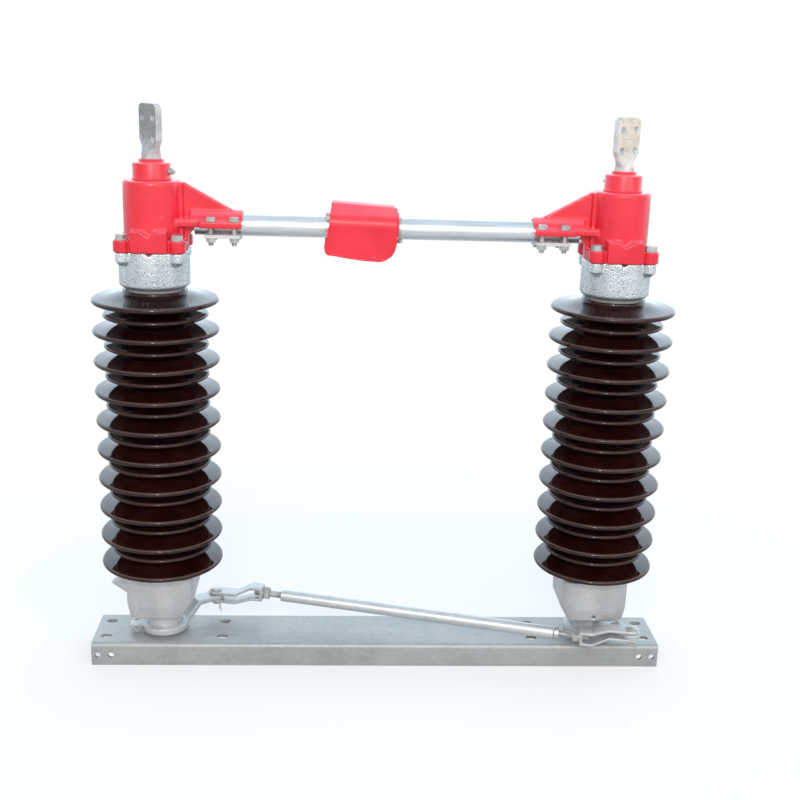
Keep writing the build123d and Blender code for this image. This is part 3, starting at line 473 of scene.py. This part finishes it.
boltLook = {"dark": (0.46, 0.46, 0.44), "light": (0.70, 0.70, 0.68), "bloom": (0.78, 0.78, 0.75),
            "rough": 0.36, "metal": 0.75}


def boltZinc(name):
    # bright zinc plate, clouded, with a white bloom in places
    finish = newFinish(name)
    cloud = finish.noise(60, 4, 0.6)
    fine = finish.noise(900, 2, 0.5)
    colour = finish.blend(finish.rise(cloud, 0.3, 0.7), boltLook["dark"], boltLook["light"])
    bloom = finish.rise(finish.noise(120, 3, 0.6), 0.58, 0.7)
    colour = finish.blend(bloom * 0.35, colour, boltLook["bloom"])
    roughness = boltLook["rough"] + bloom * 0.2 + cloud * 0.05
    normal = finish.relief(fine * 0.6 + cloud * 0.4, 0.15, 0.0003)
    return finish.done(Base_Color=colour, Roughness=roughness, Metallic=boltLook["metal"], Normal=normal)


cementLook = {"dark": (0.17, 0.17, 0.175), "light": (0.42, 0.42, 0.425), "hole": (0.10, 0.10, 0.10)}


def greyCement(name):
    # blotched grey with small air holes darkened by painted shade
    finish = newFinish(name)
    cloud = finish.noise(45, 6, 0.7)
    hole = finish.rise(finish.cells(420), 0.1, 0.3)
    colour = finish.blend(cloud, cementLook["dark"], cementLook["light"])
    # painted shade: the air holes are darkened
    colour = finish.blend((1 - hole) * 0.5, colour, cementLook["hole"])
    normal = finish.relief(cloud * 0.6 + hole * 0.4, 0.6, 0.0012)
    return finish.done(Base_Color=colour, Roughness=0.88 - cloud * 0.08, Metallic=0.0, Normal=normal)


copperLook = {"tin": (0.66, 0.64, 0.60), "copper": (0.72, 0.38, 0.23), "stain": (0.34, 0.30, 0.27),
              "metal": 0.92}


def tinnedCopper(name):
    # tin worn through to copper in streaks, and stained
    finish = newFinish(name)
    cloud = finish.noise(40, 4, 0.6)
    worn = finish.rise(finish.noise(24, 3, 0.6, finish.stretch((0.4, 3, 3))), 0.5, 0.66)
    colour = finish.blend(worn * 0.75, copperLook["tin"], copperLook["copper"])
    colour = finish.blend(cloud * 0.3, colour, copperLook["stain"])
    normal = finish.relief(finish.noise(500, 3) * 0.5 + worn * 0.3, 0.12, 0.0003)
    return finish.done(Base_Color=colour, Roughness=0.30 + cloud * 0.16, Metallic=copperLook["metal"],
                       Normal=normal)


sheetZinc = galvanisedSteel("galvanisedSheet")
forgedZinc = galvanisedSteel("galvanisedForging", light=1.40, metal=0.55, grain=260.0, streak=(8, 8, 8))
rodZinc = galvanisedSteel("galvanisedRod", light=1.55, metal=0.6, rough=0.38, grain=420.0, streak=(2, 40, 40))
cupSilver = castIron("cupCasting", (0.49, 0.535, 0.56), (0.76, 0.805, 0.83), rough=0.25, sparkle=0.75,
                     strength=0.8, lumps=240.0, metal=0.75)
bellGrey = castIron("bellCasting", (0.53, 0.53, 0.535), (0.67, 0.665, 0.67), rough=0.36, sparkle=0.15,
                    strength=0.4)
glaze = brownGlaze("brownGlaze")
headRed = redEnamel("castRedEnamel")
sheetRed = redEnamel("smoothRedEnamel", cast=0.35, coat=0.15, rough=0.36)
tubeMetal = drawnTube("drawnTube")
# face and edge are the painted light tones of faces along the palm's normal and of the rest
palms = {"left": palmMetal("palmGrey", turn=-142, face=(0.25, 0.33), edge=(0.44, 0.60), tint=(1, 0.97, 0.94)),
         "right": palmMetal("palmPale", turn=-52, face=(0.64, 0.84), edge=(0.56, 0.74), tint=(1, 0.89, 0.72))}
fastener = boltZinc("zincFastener")
cement = greyCement("greyCement")
contactMetal = tinnedCopper("tinnedCopper")
print("finishes made:", len(bpy.data.materials))

# a node's finish goes by its whole name, or by its name without the side; every other node is a fastener
looks = {"base_channel": sheetZinc, "finger_block": contactMetal, "contact_fingers": contactMetal,
         "contact_blade": contactMetal, "rain_hood": sheetRed, "hood_saddle": sheetRed, "link_rod": rodZinc,
         "bearing_housing": forgedZinc, "shaft": forgedZinc, "lever": forgedZinc, "cement_collar": cement,
         "arm_tube": tubeMetal, "clamp_plate": forgedZinc, "fork": forgedZinc, "head_cap": headRed}
for key, node in nodes.items():
    look = looks.get(key) or looks.get(key.split("_", 1)[1]) or fastener
    node.data.materials.clear()
    node.data.materials.append(look)

posts = {"left": -1, "right": 1}  # which way each post stands from the middle
postReach = joints["right_post_turn"][0]
linkBody = {"left": "link", "right": "right_link_end"}

insulatorShape = {"core": 0.048, "foot": 0.130, "neck": 0.607, "headRadius": 0.040, "top": 0.636,
                  "chamfer": 0.002, "sheds": 10, "first": 0.1678, "pitch": 0.047, "smallOffset": 0.0244,
                  "large": (0.095, 0.0074, 0.0122), "small": (0.079, 0.0062, 0.008),  # rim, thickness, slope
                  "root": 0.0035, "underRise": 0.002, "bow": 0.0012, "hollow": 0.0015, "seam": 0.0004,
                  "paleAt": 1.0, "paleOver": 0.30, "steps": 96}


def run(radius, height, paleBand=0.0):
    # a stretch of the section as rows of radius, height and how much of the rim's pale band, thin glaze and
    # painted highlight, lies there
    return np.stack(np.broadcast_arrays(radius, height, paleBand), 1)


def shedProfile(shape):
    # the half section from the foot to the head. Each shed is a quarter circle out of the core, an under side
    # bowed by a sine, half a circle round the rim, a top hollowed by a sine and a quarter circle to the core.
    # The rim's pale band, thin glaze with a painted highlight line, is strongest on its upper shoulder, by
    # exp of minus the square of the angle from there
    core, root, neck, top = (shape[key] for key in ("core", "root", "neck", "top"))
    bend = np.linspace(0, math.pi / 2, 5)
    turn = np.linspace(-math.pi / 2, math.pi / 2, 11)
    along = np.linspace(0, 1, 9)[1:]
    arch = np.sin(along * math.pi)
    paleBand = np.exp(-((turn - shape["paleAt"]) / shape["paleOver"]) ** 2)
    runs = [run([0, core], shape["foot"])]
    for index in range(shape["sheds"]):
        middle = shape["first"] + index * shape["pitch"]
        sheds = [(middle, *shape["large"])]
        if index < shape["sheds"] - 1:
            sheds.append((middle + shape["smallOffset"], *shape["small"]))
        for level, rim, thickness, slope in sheds:
            half = thickness / 2
            bottomRoot, topRoot = level - half + shape["underRise"], level + slope
            out = core + root + (rim - half - core - root) * along
            under = bottomRoot + (level - half - bottomRoot) * along + shape["bow"] * arch
            over = topRoot + (level + half - topRoot) * along - shape["hollow"] * arch
            rising, falling = root * (1 - np.cos(bend)), root * (1 - np.sin(bend))
            runs += [run(core + rising, bottomRoot - falling),
                     run(out, under),
                     run(rim - half + half * np.cos(turn), level + half * np.sin(turn), paleBand),
                     run(out, over)[::-1][1:],
                     run(core + falling, topRoot + rising - shape["seam"])]
    cut, head = shape["chamfer"], shape["headRadius"]
    runs.append(run([core, core - cut, head, head, 0], [neck - cut, neck, neck, top, top]))
    return np.concatenate(runs)


section = shedProfile(insulatorShape)
for side, sign in posts.items():
    grid = turned(section[:, :2], insulatorShape["steps"]) + [sign * postReach, 0, 0]
    # each point's share of the rim's pale band, a painted highlight in part
    paleness = np.repeat(section[:, 2:], insulatorShape["steps"], 1)
    makePiece(f"{side}Porcelain", [grid], glaze, f"{side}_post", [f"{side}_insulator"], 40,
              {"rimPaleBand": paleness})
print("insulators turned")

# castings keep their nodes' shapes with edges rounded as cast: finish, slot, voxel size and smoothing passes
castings = {"contact_head": (headRed, "red_paint", 0.0015, 4),
            "upper_casting": (cupSilver, "cast_metal", 0.0016, 3),
            "lower_casting": (bellGrey, "cast_metal", 0.0018, 4)}
for side in posts:
    for node, (material, slot, voxel, passes) in castings.items():
        name = side + "".join(word.title() for word in node.split("_"))
        softCopy(name, f"{side}_{node}", material, f"{side}_post", slot, voxel, passes)
print("castings eased")

# forgings have a voxel size and smoothing passes too, pressed pieces the width of their broken edges
forged = {"terminal": (0.0011, 3), "lever": (0.0012, 2), "fork": (0.0011, 6)}
pressed = {"strap": 0.0006, "hood": 0.0009}
for side in posts:
    softCopy(f"{side}Terminal", f"{side}_terminal", palms[side], f"{side}_terminal_body", "arm_aluminium",
             *forged["terminal"])
    softCopy(f"{side}Lever", f"{side}_lever", forgedZinc, f"{side}_post", "galvanised", *forged["lever"])
    softCopy(f"{side}Fork", f"{side}_fork", forgedZinc, linkBody[side], "galvanised", *forged["fork"])
    edgedCopy(f"{side}Strap", f"{side}_clamp_plate", forgedZinc, f"{side}_post", pressed["strap"])
edgedCopy("rainHood", "rain_hood", sheetRed, "left_post", pressed["hood"])
print("pressed pieces edged")

shut = 0.0001  # a washer's bore where a bolt fills it
capShape = {"floor": 0.770, "bore": 0.01435, "ring": 0.029, "ringTop": 0.003, "radius": 0.028,
            "height": 0.025, "lip": 0.0185, "lipTop": 0.030, "fine": 0.0006, "edge": 0.0008, "soft": 0.0012,
            "shoulder": 0.003, "crown": 0.0002}
capScrew = {"turn": {"left": -14, "right": 130}, "level": 0.0125, "sunk": 0.001, "washer": (0.0052, 0.0022),
            "head": (0.008, 0.0045), "headFrom": 0.002, "tip": (0.0022, 0.0035, 0.0009, 0.0003),
            "tipFrom": 0.0065}


def capSection(shape):
    # the section of the cap: a foot ring, the wall set in from it, a top that rises a little to the lip, and
    # the lip round the bore
    bore, ring, ringTop, radius = (shape[key] for key in ("bore", "ring", "ringTop", "radius"))
    height, lip, lipTop = (shape[key] for key in ("height", "lip", "lipTop"))
    fine, edge, soft = (shape[key] for key in ("fine", "edge", "soft"))
    shoulder, crown = shape["shoulder"], shape["crown"]
    return [(bore, 0), (ring - fine, 0), (ring, fine), (ring, ringTop - edge), (ring - edge, ringTop),
            (radius, ringTop + fine), (radius, height - shoulder), (radius - edge, height - soft),
            (radius - shoulder + crown, height), (lip + soft, height + crown), (lip, height + soft),
            (lip, lipTop - soft), (lip - soft, lipTop), (bore + fine, lipTop), (bore, lipTop - fine),
            (bore, 0)]


for side, sign in posts.items():
    foot = np.array([sign * postReach, 0, capShape["floor"]])
    makePiece(f"{side}Cap", [turned(capSection(capShape), 96) + foot], headRed, f"{side}_post",
              [f"{side}_head_cap"], 30)
    turn = math.radians(capScrew["turn"][side])
    out = np.array([math.cos(turn), math.sin(turn), 0])
    seat = foot + [0, 0, capScrew["level"]] + out * (capShape["radius"] - capScrew["sunk"])
    screw = [place(washer(shut, *capScrew["washer"]), seat, out),
             place(hexagon(*capScrew["head"]), seat + out * capScrew["headFrom"], out),
             place(threaded(*capScrew["tip"]), seat + out * capScrew["tipFrom"], out)]
    makePiece(f"{side}CapScrew", screw, fastener, f"{side}_post")
print("caps turned")

headBolt = {"circle": 0.057, "seat": 0.686, "across": 0.016, "height": 0.0065, "washer": 0.010,
            "plate": 0.002, "skew": 0.3}
clampBolt = {"reach": (0.088, 0.122), "side": 0.0285, "top": 0.714, "floor": 0.690, "across": 0.013,
             "height": 0.0053, "radius": 0.004, "washer": 0.0075, "plate": 0.0012, "tail": 0.0115}
fineThread = (0.00125, 0.0006)  # pitch and depth
for side, sign in posts.items():
    grids = []
    for quarter in range(4):
        turn = math.radians(45 + 90 * quarter)
        skewed = turn + headBolt["skew"] * quarter
        seat = np.array([sign * postReach + headBolt["circle"] * math.cos(turn),
                         headBolt["circle"] * math.sin(turn), headBolt["seat"]])
        grids += [washer(shut, headBolt["washer"], headBolt["plate"]) + seat,
                  place(hexagon(headBolt["across"], headBolt["height"]), seat + [0, 0, headBolt["plate"]],
                        side=(math.cos(skewed), math.sin(skewed), 0))]
    makePiece(f"{side}HeadBolts", grids, fastener, f"{side}_post", [f"{side}_head_bolts"], 25)
    grids = []
    across, height, plate = clampBolt["across"], clampBolt["height"], clampBolt["plate"]
    for index, reach in enumerate(clampBolt["reach"]):
        for way in (-1, 1):
            top = np.array([sign * (postReach - reach), way * clampBolt["side"], clampBolt["top"]])
            low = top * [1, 1, 0] + [0, 0, clampBolt["floor"] - plate]
            spin = (math.cos(index + way), math.sin(index + way), 0)
            length = clampBolt["top"] - clampBolt["floor"] + clampBolt["tail"]
            grids += [washer(shut, clampBolt["washer"], plate) + top,
                      place(hexagon(across, height), top + [0, 0, plate], side=spin),
                      washer(shut, clampBolt["washer"], plate) + low,
                      place(hexagon(across, height, both=True), low, (0, 0, -1), spin),
                      place(threaded(clampBolt["radius"], length, *fineThread), top, (0, 0, -1))]
    makePiece(f"{side}ClampBolts", grids, fastener, f"{side}_post", [f"{side}_clamp_bolts"], 25)
print("bolts made")

linkShape = {"reach": 0.082, "level": {"left": 0.084, "right": 0.060}, "inside": 0.014,
             "stud": {"left": 0.032, "right": 0.042}, "studRadius": 0.006, "thread": (0.00175, 0.0009),
             "plate": (0.0105, 0.0018), "nut": (0.019, 0.0088, 0.0058), "nutFrom": 0.0022, "bore": 0.0071,
             "insert": 0.020, "rod": 0.010, "collar": 0.008, "footEdge": 0.0008, "endEdge": 0.0006}
pinShape = {"radius": 0.006, "floor": 0.0565, "shoulder": 0.0815, "head": 0.009, "headHeight": 0.004,
            "edge": 0.001, "rim": 0.0005, "dome": ((0, 0.0024), (0.0012, 0.0035), (0.0035, 0.004)),
            "washer": 0.0013, "washerFloor": 0.0611, "splitLevel": 0.0590, "splitTurn": 0.7}
splitShape = {"drops": (0.009, 0.0150), "wire": 0.00075, "apart": 0.0005, "eyeReach": 0.0032,
              "eyeDeep": 0.0026, "eyeWide": 0.0022, "past": 0.0012, "bent": 0.0022, "bend": 1.5,
              "splay": 0.0015, "fall": 1.4}
leverBolt = {"turn": 154, "reach": 0.047, "level": 0.049, "half": 0.008, "head": (0.012, 0.0065),
             "tilt": 0.4, "radius": 0.004, "tail": 0.010}
upward = np.array([0, 0, 1.0])
pins = {side: joints[f"link_{side}_pin"] for side in posts}
towards = (pins["right"] - pins["left"]) / np.linalg.norm(pins["right"] - pins["left"])
webs = {side: pins[side] * [1, 1, 0] - towards * sign * linkShape["reach"] + upward * linkShape["level"][side]
        for side, sign in posts.items()}
rodAhead = (webs["right"] - webs["left"]) / np.linalg.norm(webs["right"] - webs["left"])


def splitPin(centre, heading, reach):
    # two legs of one wire. Each is half an ellipse for the eye, a straight run through the pin, and a fall
    # that goes out with the sine of its length and down with a power of it
    shape, grids = splitShape, []
    side = np.cross(upward, heading)
    apart, past = shape["apart"], reach + shape["past"]
    turn = np.linspace(0, math.pi, 10)[:, None]
    fall = np.linspace(0, 1, 10)[:, None]
    for leg, drop in zip((-1, 1), shape["drops"]):
        eye = (-heading * (reach + shape["eyeReach"] + shape["eyeDeep"] * np.cos(turn))
               + side * leg * (apart + shape["eyeWide"] * np.sin(turn)))
        through = heading * np.linspace(-reach, past, 8)[:, None] + side * leg * apart
        legs = (heading * (past + shape["bent"] * np.sin(fall * shape["bend"]))
                + side * leg * (apart + shape["splay"] * fall) - upward * drop * fall ** shape["fall"])
        grids.append(swept(centre + np.concatenate([eye, through, legs[1:]]), shape["wire"], 8))
    return grids


def pinSection(shape):
    # the section of a fork pin: a chamfered foot, the shank, and a head whose top is domed in three steps
    radius, floor, shoulder, head = (shape[key] for key in ("radius", "floor", "shoulder", "head"))
    edge, rim = shape["edge"], shape["rim"]
    foot = [(0, floor), (radius - edge, floor), (radius, floor + edge), (radius, shoulder)]
    dome = [(head - inset, shoulder + rise) for inset, rise in shape["dome"]]
    return foot + [(head - rim, shoulder), (head, shoulder + rim), *dome, (0, shoulder + shape["headHeight"])]


def studEnd(side, length):
    # turned from its section: the rod's insert on the left stud, a collar with broken edges on the right one
    if side == "left":
        bore, insert = linkShape["bore"], linkShape["insert"]
        return turned([(0, 0), (bore, 0), (bore, insert), (0, insert)]) + upward * length
    foot, rim = length - linkShape["collar"], linkShape["rod"]
    lower, upper = linkShape["footEdge"], linkShape["endEdge"]
    return turned([(0, foot), (rim - lower, foot), (rim, foot + lower), (rim, length - upper),
                   (rim - upper, length), (0, length)])


for side, sign in posts.items():
    flat, radius = pins[side] * [1, 1, 0], pinShape["radius"]
    heading = np.array([math.cos(pinShape["splitTurn"]), -math.sin(pinShape["splitTurn"]), 0])
    plate = washer(radius, pinShape["head"], pinShape["washer"]) + upward * pinShape["washerFloor"]
    grids = [turned(pinSection(pinShape), 48) + flat, plate + flat,
             *splitPin(flat + upward * pinShape["splitLevel"], heading, radius)]
    makePiece(f"{side}ForkPin", grids, fastener, linkBody[side], [f"{side}_fork_pin"], 30)

    out = -sign * rodAhead
    web, length, inside = webs[side], linkShape["stud"][side], linkShape["inside"]
    radius = linkShape["studRadius"]
    thread = threaded(radius, length + inside, *linkShape["thread"], 32, False)
    grids = [place(thread, web - out * inside, out),
             place(washer(radius, *linkShape["plate"]), web, out),
             place(hexagon(*linkShape["nut"], both=True), web + out * linkShape["nutFrom"], out),
             place(studEnd(side, length), web, out)]
    makePiece(f"{side}Stud", grids, fastener, linkBody[side], [f"{side}_stud"], 40)

    crank = flat - [sign * postReach, 0, 0]
    turn = math.atan2(crank[1], crank[0]) + math.radians(leverBolt["turn"])
    ear = np.array([math.cos(turn), math.sin(turn), 0])
    across = np.cross(ear, upward)
    middle = np.array([sign * postReach, 0, leverBolt["level"]]) + ear * leverBolt["reach"]
    near, far = middle + across * leverBolt["half"], middle - across * leverBolt["half"]
    grids = [place(hexagon(*leverBolt["head"]), near, across, ear + upward * leverBolt["tilt"]),
             place(hexagon(*leverBolt["head"], both=True), far, -across, upward),
             place(threaded(leverBolt["radius"], leverBolt["tail"], *fineThread), far, -across)]
    makePiece(f"{side}LeverBolt", grids, fastener, f"{side}_post", [f"{side}_lever_bolt"], 25)
print("link fittings made")

springShape = {"screws": (-0.058, -0.046), "rows": (-0.011, 0, 0.011), "levels": ((0.716, 1), (0.696, -1)),
               "coil": 0.0030, "wire": 0.00055, "turns": 4.5, "seat": 0.0006, "free": 0.0065,
               "head": (0.007, 0.003), "headFrom": 0.0080, "screw": (0.0018, 0.0085, 0.0009, 0.0002, 12)}
climb = np.linspace(0, 1, 55)[:, None]
angle = climb * tau * springShape["turns"]
coil = np.concatenate([springShape["coil"] * np.cos(angle), springShape["coil"] * np.sin(angle),
                       springShape["seat"] + climb * springShape["free"]], 1)  # a helix that climbs evenly
grids = []
for x in springShape["screws"]:
    for y in springShape["rows"]:
        for level, way in springShape["levels"]:
            foot = np.array([x, y, level])
            grids += [place(swept(coil, springShape["wire"], 6), foot, (0, 0, way)),
                      place(hexagon(*springShape["head"]), foot + upward * way * springShape["headFrom"],
                            (0, 0, way)),
                      place(threaded(*springShape["screw"]), foot, (0, 0, way))]
makePiece("fingerSprings", grids, fastener, "left_post", (), 30)

hoodRim = {"line": [(-0.0930, 0.690), (-0.0955, 0.6705), (0.0075, 0.6585), (0.0128, 0.722)], "across": 0.0368,
           "radius": 0.0017}
hoodScrew = {"x": -0.0905, "across": 0.010, "level": 0.721, "washer": (0.0045, 0.001),
             "head": (0.007, 0.004), "headFrom": 0.001}
bladeScrew = {"at": (0.017, 0, 0.6892), "head": (0.008, 0.005)}


def eased(points, passes=5, share=0.22):
    # every corner is cut back by a share of the runs beside it, again and again
    points = np.asarray(points, float)
    for _ in range(passes):
        cut = np.stack([points[:-1] * (1 - share) + points[1:] * share,
                        points[:-1] * share + points[1:] * (1 - share)], 1).reshape(-1, points.shape[1])
        points = np.concatenate([points[:1], cut[1:-1], points[-1:]])
    return points


x, z = eased(hoodRim["line"]).T
rims = [swept(np.stack([x, 0 * x + way * hoodRim["across"], z], 1), hoodRim["radius"], 10) for way in (-1, 1)]
makePiece("hoodRim", rims, sheetRed, "left_post", (), 60)
grids = []
for way in (-1, 1):
    out = np.array([0, way, 0])
    seat = np.array([hoodScrew["x"], 0, hoodScrew["level"]]) + out * hoodScrew["across"]
    grids += [place(washer(shut, *hoodScrew["washer"]), seat, out),
              place(hexagon(*hoodScrew["head"]), seat + out * hoodScrew["headFrom"], out)]
makePiece("hoodScrews", grids, fastener, "left_post", (), 25)
screw = place(hexagon(*bladeScrew["head"]), bladeScrew["at"], (0, 0, -1))
makePiece("bladeScrew", [screw], fastener, "right_post", (), 25)

# weld beads round the bearing housings, under the web: a ring whose size ripples with the turn
bead = {"radius": 0.0352, "level": 0.0322, "size": 0.0022, "steps": 360, "ripple": (0.10, 90),
        "drift": (0.08, 7)}
for side, sign in posts.items():
    turn = np.linspace(0, tau, bead["steps"] + 1)[:-1]
    path = np.stack([bead["radius"] * np.cos(turn) + sign * postReach, bead["radius"] * np.sin(turn),
                     bead["level"] + 0 * turn], 1)
    (ripple, ripples), (drift, drifts) = bead["ripple"], bead["drift"]
    size = bead["size"] * (1 + ripple * np.sin(turn * ripples) + drift * np.sin(turn * drifts + sign))
    makePiece(f"{side}WeldBead", [swept(path, size, 10, True)], forgedZinc, "base", (), 80)
print("fittings made")

floorLook = {"colour": (0.955, 0.945, 0.94), "bounce": (0.40, 0.38, 0.355), "reach": 6.0, "below": 0.0006,
             "narrow": 0.75, "fadeFrom": 0.50, "fadeTo": 1.05, "near": 0.52, "mirrored": 0.25,
             "strip": {"X": (0.200, 0.211), "Y": (0.0020, 0.0026)}, "under": 0.85}
bpy.ops.mesh.primitive_plane_add(size=2 * floorLook["reach"], location=(0, 0, -floorLook["below"]))
floor = bpy.context.object
floor.name = "floor"
pale = newFinish("paleFloor")
seen = pale.seen(floorLook["mirrored"])
pale.done(Base_Color=pale.blend(seen, floorLook["bounce"], floorLook["colour"]), Roughness=0.9)
oval = pale.stretch((floorLook["narrow"], 1, 1))
away = pale.add("ShaderNodeVectorMath", {"operation": "LENGTH"}, {0: oval}, "Value")
far = pale.rise(away, floorLook["fadeFrom"], floorLook["fadeTo"], floorLook["near"])
under = floorLook["under"]  # a pale strip under the channel, which fades between two squares of the distance
for axis, (inner, outer) in floorLook["strip"].items():
    along = pale.split(pale.place, axis)
    under = (1 - pale.rise(along * along, inner, outer)) * under
pale.whiten(far.math("MAXIMUM", far, under) * seen, "ShaderNodeEmission")
floor.data.materials.append(pale.owner)

studioLook = {"front": 1.10, "back": 2.3, "above": 0.92, "left": 0.35, "right": 0.15, "haze": (1, 0.99, 0.98),
              "sky": (0.70, 0.86, 1.0), "mirrored": 0.25, "behind": (-0.1, 0.35), "high": (0.45, 0.78),
              "aside": (0.3, 0.9)}  # the last three: where each change starts and ends
world = bpy.data.worlds.new("studio")
bpy.context.scene.world = world
studio = Finish(world, "ShaderNodeBackground", "ShaderNodeOutputWorld", "Generated")
sideways, high = studio.split(studio.place, "X"), studio.split(studio.place, "Z")
behind = studio.rise(studio.split(studio.place, "Y"), *studioLook["behind"])
low = 1 - studio.rise(high, *studioLook["high"])
band = studioLook["front"] + behind * (studioLook["back"] - studioLook["front"])
dim = ((1 - studio.rise(-1 * sideways, *studioLook["aside"]) * studioLook["left"])
       * (1 - studio.rise(sideways, *studioLook["aside"]) * studioLook["right"]))
studio.done(Color=studio.blend(low * (1 - behind), studioLook["sky"], studioLook["haze"]),
            Strength=(studioLook["above"] * (1 - low) + band * low) * dim)
studio.whiten(studio.seen(studioLook["mirrored"]), "ShaderNodeBackground")

aim = Vector((0, 0, 0.45))
lamps = {"key": {"at": (-0.25, -3.0, 2.1), "size": (0.35, 0.35), "power": 14, "colour": (1, 0.985, 0.965)},
         "bar": {"at": (0, -3.0, 2.1), "size": (2.6, 0.3), "power": 26, "colour": (1, 0.985, 0.965)},
         "fill": {"at": (1.9, -2.3, 1.5), "size": (1.6, 1.6), "power": 8, "colour": (1, 0.99, 0.98)}}
for name, lamp in lamps.items():
    data = bpy.data.lights.new(name, "AREA")
    data.shape, data.energy, data.color = "ELLIPSE", lamp["power"], lamp["colour"]
    data.size, data.size_y = lamp["size"]
    source = bpy.data.objects.new(name, data)
    source.location = lamp["at"]
    source.rotation_euler = (aim - Vector(lamp["at"])).to_track_quat("-Z", "Y").to_euler()
    bpy.context.scene.collection.objects.link(source)

view = {"at": (-0.0722, -1.7227, 0.9491), "yaw": 3.24, "pitch": 16.52, "roll": 1.82, "lens": 51.6,
        "sensor": 36}
yaw, pitch, roll = (math.radians(view[key]) for key in ("yaw", "pitch", "roll"))
forward = Vector((math.sin(yaw) * math.cos(pitch), math.cos(yaw) * math.cos(pitch), -math.sin(pitch)))
level = Vector((math.cos(yaw), -math.sin(yaw), 0))
upright = level.cross(forward)
rightward = math.cos(roll) * level + math.sin(roll) * upright
topward = -math.sin(roll) * level + math.cos(roll) * upright
camera = bpy.data.objects.new("camera", bpy.data.cameras.new("camera"))
camera.data.lens, camera.data.sensor_width = view["lens"], view["sensor"]
facing = Matrix((rightward, topward, -forward)).transposed().to_4x4()
camera.matrix_world = Matrix.Translation(view["at"]) @ facing
bpy.context.scene.collection.objects.link(camera)
bpy.context.scene.camera = camera
bpy.context.scene.view_settings.view_transform = "Standard"
print("stage set")
